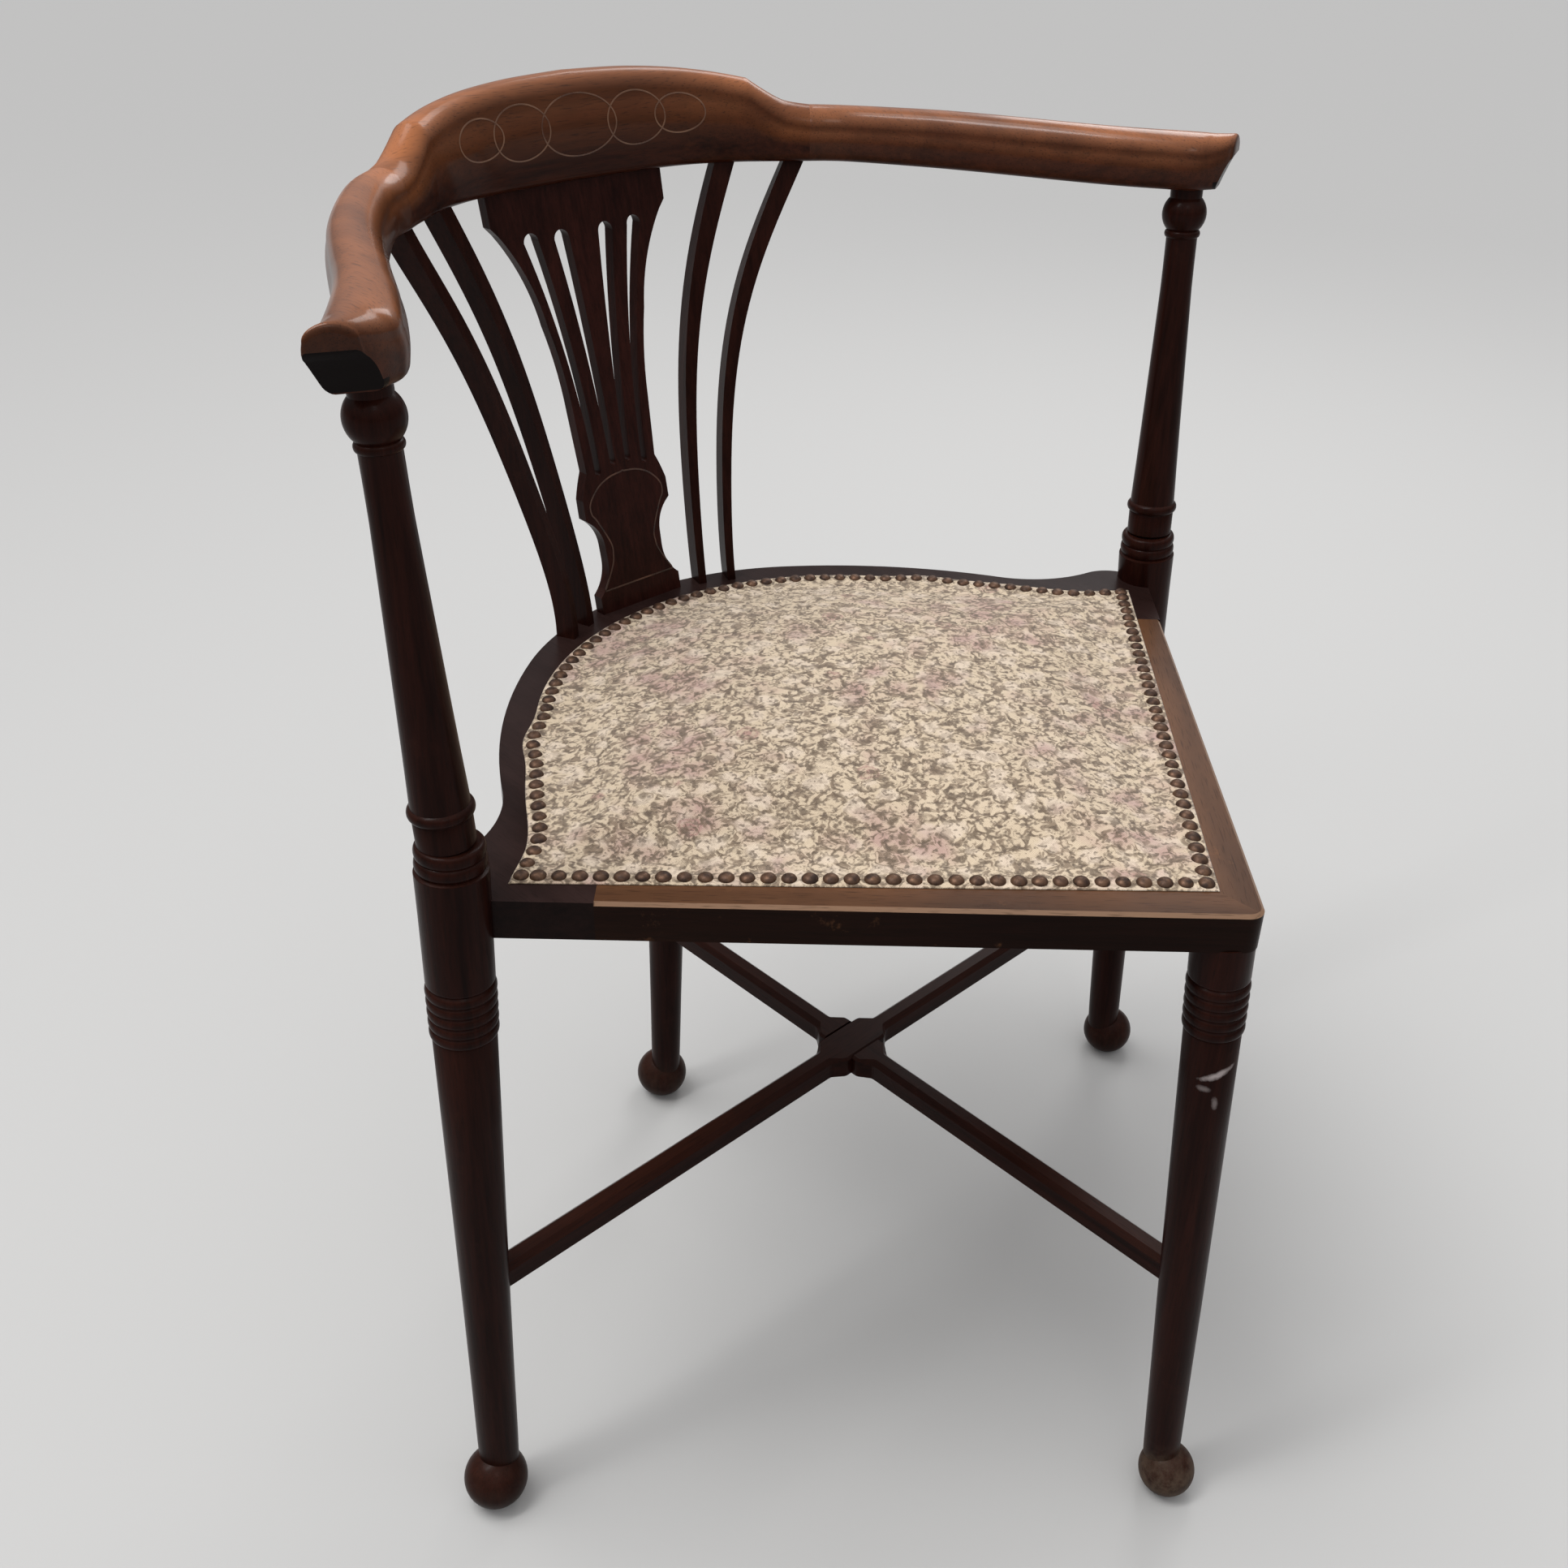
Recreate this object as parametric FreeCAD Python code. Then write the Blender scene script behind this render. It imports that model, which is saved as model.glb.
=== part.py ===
"""Corner chair in mahogany: turned legs and arm posts, a shaped crest rail between two arms, a pierced
splat with four bent spindles, a shaped seat frame with a close-nailed seat, and a halved cross stretcher.

Lengths are in millimetres. X runs to the right as seen from the front, Y to the back leg and Z up. The work
is set out from the point on the floor under the middle of the cross stretcher, and every piece is moved by
ORIGIN_SHIFT at the end, so that the origin lies under the middle of the whole chair.
The chair is symmetrical, so the pieces of the +X side are made first and mirrored.
"""
import FreeCAD, Part
import math
import os

Vector = FreeCAD.Vector
UP = Vector(0, 0, 1)
ORIGIN_SHIFT = Vector(0, 12.33, 0)

# Turned and moulded surfaces are cut as flats
TURNED_SIDES = 18
FLATNESS = 1e-8

# Seat frame
SEAT_TOP = 430.0
RAIL_THICK = 22.3
RAIL_BOTTOM = SEAT_TOP - RAIL_THICK
FRONT_CORNER_Y = -273.0
FRONT_SLOPE = 0.98
FRONT_CORNER_RADIUS = 9.0
EDGE_BEVEL = 1.8
BACK_CENTRE_Y = 34.0
BACK_RADIUS = 182.0
BACK_ARC_X = 107.0
FLANK_MIDDLE = (163.0, 130.2)
FLANK_END = (206.5, 68.0)
HOLLOW_MIDDLE = (228.4, 44.6)
HOLLOW_END = (258.0, 32.6)
HORN_MIDDLE = (267.8, 27.9)
HORN_END = (274.7, 19.4)
BUTT_JOINT_X = 232.7

# Upholstery, set out from the row of nails
NAIL_FRONT_Y = -237.4
NAIL_SIDE = (247.0, -2.5)
NAIL_BACK_CENTRE_Y = 6.5
NAIL_BACK_RADIUS = 180.0
NAIL_PITCH = 10.3
NAIL_HEAD_RADIUS = 4.3
NAIL_HEAD_HEIGHT = 2.4
NAIL_HEAD_TOP_RADIUS = 2.2
NAIL_SIDES = 5
OPENING_INSET = 17.0
REBATE_INSET = 5.0
REBATE_DEPTH = 4.0
WEBBING_THICK = 1.4
WEBBING_WIDTH = 50.0
WEBBING_PITCH = 82.0
HESSIAN_THICK = 0.8
COVER_THICK = 1.0
COVER_EDGE_OUTSET = 2.5
BACK_FLATS = 18
CROWN_HEIGHT = 12.0
CROWN_REACH = 150.0
CROWN_POWER = 2.2
CROWN_INSETS = (8.0, 22.0, 50.0, 95.0, 150.0)

# Legs: the axis goes through a point at this height and splays outward down to the floor
SPLAY_HEIGHT = 446.0
SIDE_LEG_TOP = 463.5
SIDE_LEG_AXIS = Vector(280.0, 2.7, SPLAY_HEIGHT)
SIDE_LEG_SPLAY = Vector(20.9, -9.3, 0)
FRONT_LEG_AXIS = Vector(0, -249.3, SPLAY_HEIGHT)
FRONT_LEG_SPLAY = Vector(0, -28.7, 0)
BACK_LEG_AXIS = Vector(0, 178.7, SPLAY_HEIGHT)
BACK_LEG_SPLAY = Vector(0, 18.9, 0)
FOOT_RADIUS = 19.4
FRONT_FOOT_RADIUS = 17.4
FOOT_LIFT = 0.93
FOOT_OFFSET = 4.9
FOOT_FLATS = 6
ANKLE_HEIGHT = 30.0
REED_BOTTOM = 351.0
REED_TOP = 382.5
REED_COUNT = 5
REED_PROUD = 0.85
LEG_TENON_RADIUS = 8.0
LEG_TENON_LENGTH = 15.0

# Arm posts lean outward as they rise from the side legs
POST_LEAN = Vector(6.0, 13.1, 286.0)
POST_DOWEL_RADIUS = 8.0
POST_DOWEL_LENGTH = 25.0
POST_TENON_RADIUS = 6.0
POST_TENON_LENGTH = 16.0
BALL_HEIGHT = 669.3
BALL_RADIUS = 13.5
BALL_NECK_RADIUS = 9.6

# Back: splat and spindles run from the rail to the crest
SOCKET_DEPTH = 8.0
CREST_BOTTOM = 688.6
SPLAT_THICK = 7.6
SPLAT_FOOT_Y = 201.4
SPLAT_SLOPE = 0.194
SPINDLE_CENTRE = Vector(0, BACK_CENTRE_Y, 0)

# Crest rail and arms: sections of the mould, and the end of the hand, cut square to HAND_END
EDGE_RADIUS = 5.0
CROWN_STEPS = 4
HAND_END = Vector(0.42, -0.908, 0).normalize()
POST_HEAD = Vector(285.1, 13.9, 0)
HAND_BOTTOM = 685.0
HAND_LENGTH = 24.9
COVE_LIP = (24.2, 706.0)
COVE_MIDDLE = (21.0, 696.5)
COVE_FOOT = (19.7, HAND_BOTTOM)

# Cross stretcher
STRETCHER_HEIGHT = 175.0
STRETCHER_WIDTH = 14.0
STRETCHER_DEEP = 15.0
STRETCHER_CHAMFER = 3.5
STRETCHER_Y = -3.0
CROSS_HALF_LENGTH = 28.0
CROSS_HALF_WIDTH = 13.0
STRETCHER_TENON_RADIUS = 4.5
STRETCHER_TENON_LENGTH = 11.0

FRAME_DOWEL_RADIUS = 4.0
FRAME_DOWEL_REACH = 16.0
ARM_DOWEL_RADIUS = 3.5
ARM_DOWEL_REACH = 13.0


def flat_faced(rings):
    """Solid through rings that have the same number of points. Where four neighbouring points lie in one
    plane they make one face, and otherwise two triangles, so that the solid keeps few and flat faces."""
    outlines = [rings[0], rings[-1]]
    for ring, beyond in zip(rings, rings[1:]):
        for number in range(len(ring)):
            following = (number + 1) % len(ring)
            a, b, c, d = ring[number], ring[following], beyond[following], beyond[number]
            normal = (b - a).cross(c - a)
            if abs((d - a).dot(normal)) < FLATNESS * normal.Length:
                outlines.append([a, b, c, d])
            else:
                outlines += [[a, b, c], [a, c, d]]
    shell = Part.Shell([Part.Face(Part.makePolygon(outline + [outline[0]])) for outline in outlines])
    shell.sewShape()
    solid = Part.Solid(shell)
    if solid.Volume < 0:
        solid.reverse()
    return solid


def ring_of(radius, height, sides):
    """Regular ring of points round Z."""
    turns = [2 * math.pi * number / sides for number in range(sides)]
    return [Vector(radius * math.cos(turn), radius * math.sin(turn), height) for turn in turns]


def turned(start, steps, stretch):
    """Turned solid about Z from a list of steps going up. A step of (height, radius) is a straight line
    there. A step of (height, radius, proud, flats) is an arc whose middle stands proud of that line, cut as
    that many flats. Heights are real heights on the chair, and stretch turns them into lengths along a
    leaning axis."""
    points = [Vector(start[1], 0, start[0] * stretch)]
    for step in steps:
        last = points[-1]
        point = Vector(step[1], 0, step[0] * stretch)
        if len(step) == 4:
            along = point - last
            out = Vector(along.z, 0, -along.x).normalize()
            arc = Part.Arc(last, (last + point) * 0.5 + out * step[2], point).toShape()
            points.extend(arc.discretize(Number=step[3] + 1)[1:-1])
        points.append(point)
    return flat_faced([ring_of(point.x, point.z, TURNED_SIDES) for point in points])


def lean(shape, floor_point, direction):
    """Turns a shape made about Z so that its axis goes through floor_point in the given direction."""
    shape.Placement = FreeCAD.Placement(floor_point, FreeCAD.Rotation(UP, direction))
    return shape


def rod(radius, start, end):
    """Round pin from start to end."""
    return Part.makeCylinder(radius, (end - start).Length, start, end - start)


def peg(radius, start, end):
    """Straight peg from start to end, planed eight-sided as cabinet dowels can be."""
    way = (end - start).normalize()
    side = Vector(-way.y, way.x, 0)
    corners = []
    for number in range(8):
        angle = math.radians(45 * number)
        corners.append(start + side * (radius * math.cos(angle)) + UP * (radius * math.sin(angle)))
    return Part.Face(Part.makePolygon(corners + [corners[0]])).extrude(end - start)


def slab(bottom, top):
    """Block wide enough to hold the whole chair, between two heights."""
    return Part.makeBox(900, 900, top - bottom, Vector(-450, -450, bottom))


def mirrored(shape):
    """The same piece for the other side of the chair."""
    return shape.mirror(Vector(0, 0, 0), Vector(1, 0, 0))


def relieved(shape, tools):
    """The shape with each tool cut from it in turn."""
    for tool in tools:
        shape = shape.cut(tool)
    return shape


def reeds(radius_below, radius_above):
    """Steps of the five reeds turned round a leg, two flats each."""
    pitch = (REED_TOP - REED_BOTTOM) / REED_COUNT
    steps = [(REED_BOTTOM, radius_below)]
    for number in range(1, REED_COUNT + 1):
        share = number / REED_COUNT
        radius = radius_below + (radius_above - radius_below) * share
        steps.append((REED_BOTTOM + pitch * number, radius, REED_PROUD, 2))
    return steps


def foot(centre, radius):
    """Pad foot: a ball on an upright axis, cut flat on the floor and ending inside the leg."""
    low = -math.asin(FOOT_LIFT)
    rings = []
    for number in range(FOOT_FLATS):
        turn = low + (math.pi / 2 - low) * number / FOOT_FLATS
        rings.append(ring_of(radius * math.cos(turn), radius * (FOOT_LIFT + math.sin(turn)), TURNED_SIDES))
    ball = flat_faced(rings)
    ball.translate(Vector(centre.x, centre.y, 0))
    return ball


def leg(axis_point, splay, ankle_radius, knee, reed_radii, top_steps, foot_radius=FOOT_RADIUS):
    """A turned leg with its reeds, and its foot set outward of the axis."""
    floor_point = axis_point + splay - UP * SPLAY_HEIGHT
    direction = axis_point - floor_point
    stretch = direction.Length / SPLAY_HEIGHT
    steps = [knee] + reeds(*reed_radii) + top_steps
    shaft = lean(turned((ANKLE_HEIGHT, ankle_radius), steps, stretch), floor_point, direction)
    outward = Vector(splay).normalize()
    foot_height = foot_radius * FOOT_LIFT
    foot_centre = floor_point + direction * (foot_height / SPLAY_HEIGHT) + outward * FOOT_OFFSET
    return shaft.fuse(foot(foot_centre, foot_radius)).common(slab(0, SIDE_LEG_TOP))


def side_leg():
    """Leg under an arm post. It runs past the seat frame and ends in two rings, level on top."""
    top_steps = [
        (384.0, 17.5),
        (448.5, 18.3),
        (449.2, 16.6),
        (456.3, 16.4, 1.0, 2),
        (463.0, 16.2, 1.0, 2),
        (466.0, 16.2),
    ]
    return leg(SIDE_LEG_AXIS, SIDE_LEG_SPLAY, 12.0, (160.0, 13.4), (16.6, 17.0), top_steps)


def end_leg(axis_point, splay, foot_radius):
    """Front or back leg. It stops under the seat frame, and a round tenon goes up into the rails."""
    knee = (160.0, 12.7)
    top_steps = [(384.0, 15.8), (412.0, 16.1)]
    body = leg(axis_point, splay, 11.0, knee, (14.9, 15.2), top_steps, foot_radius)
    body = body.common(slab(0, RAIL_BOTTOM))
    top_centre = axis_point + splay * ((SPLAY_HEIGHT - RAIL_BOTTOM) / SPLAY_HEIGHT)
    top_centre.z = RAIL_BOTTOM
    return body.fuse(rod(LEG_TENON_RADIUS, top_centre - UP, top_centre + UP * LEG_TENON_LENGTH))


def arm_post():
    """Arm post: a dowel down into the leg, a collar, a taper, a neck ring, a ball and a tenon for the arm."""
    base = SIDE_LEG_AXIS - POST_LEAN * (SPLAY_HEIGHT / POST_LEAN.z)
    stretch = POST_LEAN.Length / POST_LEAN.z
    ball_half = math.sqrt(BALL_RADIUS ** 2 - BALL_NECK_RADIUS ** 2)
    steps = [
        (SIDE_LEG_TOP - 4, 14.5),
        (478.6, 14.4),
        (479.4, 14.6),
        (484.8, 14.4, 1.8, 2),
        (512.0, 13.3),
        (625.0, 9.6),
        (655.2, 9.5),
        (BALL_HEIGHT - ball_half, BALL_NECK_RADIUS, 1.2, 2),
        (BALL_HEIGHT + ball_half, BALL_NECK_RADIUS, BALL_RADIUS - BALL_NECK_RADIUS, 6),
        (HAND_BOTTOM + 4, 9.8),
    ]
    body = turned((SIDE_LEG_TOP - 4, 6.0), steps, stretch)
    body = lean(body, base, POST_LEAN).common(slab(SIDE_LEG_TOP, HAND_BOTTOM))
    axis = POST_LEAN * (1 / POST_LEAN.z)
    foot = base + axis * SIDE_LEG_TOP
    head = base + axis * HAND_BOTTOM
    dowel = rod(POST_DOWEL_RADIUS, foot - axis * POST_DOWEL_LENGTH, foot + axis)
    tenon = rod(POST_TENON_RADIUS, head - axis, head + axis * POST_TENON_LENGTH)
    return body.fuse([dowel, tenon])


def frame_outline():
    """Outer edge of the seat frame: two straight fronts, a horn at each side leg and a bowed back."""
    corner = Vector(0, FRONT_CORNER_Y, 0)
    leg_x = SIDE_LEG_AXIS.x
    at_leg = Vector(leg_x, FRONT_CORNER_Y + FRONT_SLOPE * leg_x, 0)
    horn_end = Vector(HORN_END[0], HORN_END[1], 0)
    hollow_end = Vector(HOLLOW_END[0], HOLLOW_END[1], 0)
    flank_end = Vector(FLANK_END[0], FLANK_END[1], 0)
    back_rise = math.sqrt(BACK_RADIUS ** 2 - BACK_ARC_X ** 2)
    back_start = Vector(BACK_ARC_X, BACK_CENTRE_Y + back_rise, 0)
    right = [
        Part.LineSegment(corner, at_leg).toShape(),
        Part.LineSegment(at_leg, horn_end).toShape(),
        Part.Arc(horn_end, Vector(HORN_MIDDLE[0], HORN_MIDDLE[1], 0), hollow_end).toShape(),
        Part.Arc(hollow_end, Vector(HOLLOW_MIDDLE[0], HOLLOW_MIDDLE[1], 0), flank_end).toShape(),
        Part.Arc(flank_end, Vector(FLANK_MIDDLE[0], FLANK_MIDDLE[1], 0), back_start).toShape(),
    ]
    back_top = Vector(0, BACK_CENTRE_Y + BACK_RADIUS, 0)
    back_left = Vector(-back_start.x, back_start.y, 0)
    back = Part.Arc(back_start, back_top, back_left).toShape()
    left = [mirrored(edge) for edge in reversed(right)]
    return Part.Wire(Part.__sortEdges__(right + [back] + left))


def seat_outline(inset, height):
    """Outline parallel to the row of nails, inset toward the middle of the seat: two straight fronts, two
    straight sides and an arc at the back, which the sides touch. The same five edges at every inset."""
    side = Vector(NAIL_SIDE[0], NAIL_SIDE[1], 0)
    front_way = (side - Vector(0, NAIL_FRONT_Y, 0)).normalize()
    front_in = Vector(-front_way.y, front_way.x, 0)
    front = Vector(0, NAIL_FRONT_Y + inset / front_in.y, 0)
    centre = Vector(0, NAIL_BACK_CENTRE_Y, 0)
    reach = side - centre
    touch_angle = math.atan2(reach.y, reach.x) + math.acos(NAIL_BACK_RADIUS / reach.Length)
    out = Vector(math.cos(touch_angle), math.sin(touch_angle), 0)
    radius = NAIL_BACK_RADIUS - inset
    touch = centre + out * radius
    side_way = Vector(out.y, -out.x, 0)
    run = (touch - front).dot(front_in) / -side_way.dot(front_in)
    corner = touch + side_way * run
    lift = UP * height
    points = [front + lift, corner + lift, touch + lift]
    far = [Vector(-p.x, p.y, p.z) for p in points]
    top = Vector(0, centre.y + radius, height)
    return [
        Part.LineSegment(points[0], points[1]).toShape(),
        Part.LineSegment(points[1], points[2]).toShape(),
        Part.Arc(points[2], top, far[2]).toShape(),
        Part.LineSegment(far[2], far[1]).toShape(),
        Part.LineSegment(far[1], points[0]).toShape(),
    ]


def seat_prism(inset, bottom, top):
    """Upright block with that outline."""
    return Part.Face(Part.Wire(seat_outline(inset, bottom))).extrude(UP * (top - bottom))


def flat_backed(inset, height):
    """The same outline as a ring of points, its back arc in equal flats."""
    corners = []
    for edge in seat_outline(inset, height):
        number = BACK_FLATS + 1 if hasattr(edge.Curve, "Radius") else 2
        points = edge.discretize(Number=number)
        forward = (points[0] - points[-1]).Length > 0
        corners.extend(points[:-1] if forward else points[1:])
    return corners


def crowned(first_inset, bottom, edge_top, drop):
    """Closed crowned pad: an upright edge, then flat facets over outlines that shrink as it rises."""
    rings = [flat_backed(first_inset, height) for height in (bottom, edge_top)]
    for inset in CROWN_INSETS:
        share = 1 - (1 - inset / CROWN_REACH) ** CROWN_POWER
        rings.append(flat_backed(inset, SEAT_TOP + COVER_THICK + CROWN_HEIGHT * share - drop))
    return flat_faced(rings)


def seat_frame():
    """The whole seat frame before it is divided, with its opening and the rebate round it."""
    blank = Part.Face(frame_outline()).extrude(UP * RAIL_THICK)
    blank.translate(UP * RAIL_BOTTOM)
    corner = [e for e in blank.Edges if len(e.Vertexes) == 2 and abs(e.Vertexes[0].X) < 0.01
              and abs(e.Vertexes[1].X) < 0.01 and e.Vertexes[0].Y < 0]
    blank = blank.makeFillet(FRONT_CORNER_RADIUS, corner)
    opening = seat_prism(OPENING_INSET, RAIL_BOTTOM - 1, SEAT_TOP + 1)
    rebate = seat_prism(REBATE_INSET, SEAT_TOP - REBATE_DEPTH, SEAT_TOP + 1)
    return blank.cut([opening, rebate])


def bevelled(rail):
    """A front rail with its long outer top edge bevelled."""
    edges = []
    for edge in rail.Edges:
        middle = edge.valueAt((edge.FirstParameter + edge.LastParameter) / 2)
        outside = abs(middle.y - FRONT_CORNER_Y - FRONT_SLOPE * middle.x) < 0.05
        if outside and abs(edge.BoundBox.ZMin - SEAT_TOP) < 0.01:
            edges.append(edge)
    return rail.makeChamfer(EDGE_BEVEL, edges)


def front_zone():
    """Block that holds the right front rail: from the mitre on the middle line to the butt joint."""
    along = Vector(1, FRONT_SLOPE, 0).normalize()
    inward = Vector(-along.y, along.x, 0)
    joint = Vector(BUTT_JOINT_X, FRONT_CORNER_Y + FRONT_SLOPE * BUTT_JOINT_X, 0)
    points = [
        Vector(0, -400, 0),
        joint - inward * 150,
        joint + inward * 60,
        Vector(0, 0, 0),
    ]
    points.append(points[0])
    base = Part.Face(Part.makePolygon([p + UP * (RAIL_BOTTOM - 5) for p in points]))
    return base.extrude(UP * (RAIL_THICK + 10)), joint, along, inward


def spindle(stations):
    """Bent flat bar. Each station is (height, x, y, width along the rail, depth across it), level cuts
    that turn to face the middle of the seat's back curve."""
    sections = []
    for height, x, y, width, depth in stations:
        centre = Vector(x, y, height)
        across = (centre - SPINDLE_CENTRE - UP * height).normalize()
        along = Vector(-across.y, across.x, 0)
        half_a = along * (width / 2)
        half_b = across * (depth / 2)
        corners = [centre - half_a - half_b, centre + half_a - half_b,
                   centre + half_a + half_b, centre - half_a + half_b]
        sections.append(Part.makePolygon(corners + [corners[0]]))
    return Part.makeLoft(sections, True, False)


def outer_spindle():
    """The longer bar, which ends beside the arm joint."""
    return spindle([
        (SEAT_TOP - SOCKET_DEPTH, 69.4, 194.1, 5.6, 12.6),
        (460, 69.0, 198.1, 5.8, 12.8),
        (520, 79.0, 210.1, 6.8, 13.0),
        (580, 94.6, 219.2, 8.4, 13.2),
        (640, 119.6, 221.5, 11.0, 13.4),
        (CREST_BOTTOM + SOCKET_DEPTH, 150.0, 217.0, 13.0, 13.4),
    ])


def inner_spindle():
    """The shorter bar beside the splat."""
    return spindle([
        (SEAT_TOP - SOCKET_DEPTH, 49.5, 202.2, 5.6, 12.6),
        (460, 50.1, 207.9, 5.8, 12.8),
        (520, 56.4, 219.9, 6.8, 13.0),
        (580, 66.7, 230.4, 8.4, 13.2),
        (640, 84.7, 237.5, 11.0, 13.4),
        (CREST_BOTTOM + SOCKET_DEPTH, 109.5, 241.2, 13.0, 13.4),
    ])


def upright(points_and_arcs):
    """Edges in the XZ plane. Each entry is (x, z) for a line, or (x, z, middle x, middle z) for an arc."""
    last = Vector(points_and_arcs[0][0], 0, points_and_arcs[0][1])
    edges = []
    for entry in points_and_arcs[1:]:
        point = Vector(entry[0], 0, entry[1])
        if len(entry) == 2:
            edges.append(Part.LineSegment(last, point).toShape())
        else:
            edges.append(Part.Arc(last, Vector(entry[2], 0, entry[3]), point).toShape())
        last = point
    return edges


def splat_slit(foot, foot_radius, head, head_radius, outer_middle, inner_middle):
    """One long slit of the splat: a round head, a small round foot and two bowed sides."""
    return Part.Wire(upright([
        (head[0] + head_radius, head[1]),
        (head[0] - head_radius, head[1], head[0], head[1] + head_radius),
        (foot[0] - foot_radius, foot[1], inner_middle[0], inner_middle[1]),
        (foot[0] + foot_radius, foot[1], foot[0], foot[1] - foot_radius),
        (head[0] + head_radius, head[1], outer_middle[0], outer_middle[1]),
    ]))


def splat():
    """Pierced splat: a thin flat board that leans back, fretted to its outline."""
    foot_z = SEAT_TOP - SOCKET_DEPTH
    head_z = CREST_BOTTOM + SOCKET_DEPTH
    half = upright([
        (0, foot_z),
        (32.6, foot_z),
        (32.6, 441.0),
        (22.4, 462.0, 25.4, 449.6),
        (22.6, 472.0),
        (30.4, 488.6, 25.0, 481.6),
        (34.0, 491.5),
        (33.8, 504.0),
        (27.6, 520.0, 31.6, 510.6),
        (29.6, 558.0),
        (37.2, 610.0, 32.0, 584.6),
        (60.4, 665.0, 45.8, 640.0),
        (65.0, 670.0),
        (65.5, head_z),
        (0, head_z),
    ])
    other = [mirrored(edge) for edge in half]
    face = Part.Face(Part.Wire(Part.__sortEdges__(half + other)))
    outer = splat_slit((18.8, 519.0), 2.2, (38.6, 659.0), 5.2, (29.4, 600.0), (22.6, 597.0))
    inner = splat_slit((6.0, 523.0), 2.2, (16.4, 658.0), 5.4, (13.0, 594.0), (6.4, 594.0))
    holes = [Part.Face(w) for w in (outer, inner, mirrored(outer), mirrored(inner))]
    fret = face.cut(holes).extrude(Vector(0, 300, 0))
    section = []
    for z, back in ((foot_z, 0), (head_z, 0), (head_z, SPLAT_THICK), (foot_z, SPLAT_THICK)):
        section.append(Vector(-100, SPLAT_FOOT_Y + SPLAT_SLOPE * (z - foot_z) + back, z))
    board = Part.Face(Part.makePolygon(section + [section[0]])).extrude(Vector(200, 0, 0))
    return board.common(fret)


def rail_section(x, y, way_x, way_y, width, bottom, top, crown, bulge):
    """Upright section across the crest or an arm, as a ring of points in the plane square to its way. The
    underside is flat with eased edges, the sides bulge a little and the top is rolled over."""
    out = Vector(way_y, -way_x, 0).normalize()
    half = width / 2
    shoulder = top - crown
    soft = EDGE_RADIUS
    bend = soft * (1 - math.sqrt(0.5))
    side = half - bulge
    roll = side - half * 0.06
    spots = [(side - soft, bottom), (side - bend, bottom + bend), (side, bottom + soft),
             (half, (bottom + soft + shoulder) / 2), (roll, shoulder)]
    for number in range(1, CROWN_STEPS):
        angle = math.pi / 2 * number / CROWN_STEPS
        spots.append((roll * math.cos(angle), shoulder + crown * math.sin(angle)))
    ring = spots + [(0, top)] + [(-across, height) for across, height in reversed(spots)]
    return [Vector(x, y, 0) + out * across + UP * height for across, height in ring]


def eased(stations):
    """The stations with one more between each two, on a smooth curve through them."""
    result = [stations[0]]
    for number in range(len(stations) - 1):
        first, second = stations[number], stations[number + 1]
        before = stations[number - 1] if number else [2 * a - b for a, b in zip(first, second)]
        after = [2 * b - a for a, b in zip(first, second)]
        if number + 2 < len(stations):
            after = stations[number + 2]
        result.append(tuple((9 * (b + c) - a - d) / 16 for a, b, c, d in zip(before, first, second, after)))
        result.append(second)
    return result


def moulded(stations):
    """Solid through sections of the rail. A station is (x, y, way x, way y, width, bottom, top, crown,
    bulge)."""
    return flat_faced([rail_section(*station) for station in stations])


# Sections at the crest's ears, and the one that crest and arm share so that they meet face to face
EAR = (121.0, 234.8, 0.84, -0.54, 28.0, CREST_BOTTOM, 736.5, 12.0, 1.8)
ARM_JOINT = (154.0, 212.0, 0.76, -0.65, 30.0, CREST_BOTTOM, 720.6, 13.0, 1.0)


def crest():
    """Crest rail: a bowed middle with a rolled top, and beyond each ear an ogee down to the arm."""
    low = CREST_BOTTOM
    right = eased([
        (0.0, 260.0, 1.0, 0.0, 28.6, low, 748.8, 13.0, 3.0),
        (40.0, 258.3, 0.994, -0.11, 28.6, low, 747.6, 13.0, 3.0),
        (75.0, 253.8, 0.97, -0.24, 28.6, low, 744.6, 12.8, 3.0),
        (102.0, 245.0, 0.91, -0.41, 28.2, low, 740.6, 12.4, 2.4),
        EAR,
    ])
    end = eased([
        EAR,
        (131.2, 228.0, 0.81, -0.59, 28.6, low, 729.0, 12.4, 1.5),
        (141.6, 221.2, 0.79, -0.62, 29.2, low, 723.0, 12.8, 1.2),
        ARM_JOINT,
    ])
    right = right + end[1:]
    left = [(-s[0], s[1], s[2], -s[3]) + s[4:] for s in reversed(right[1:])]
    return moulded(left + right)


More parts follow.
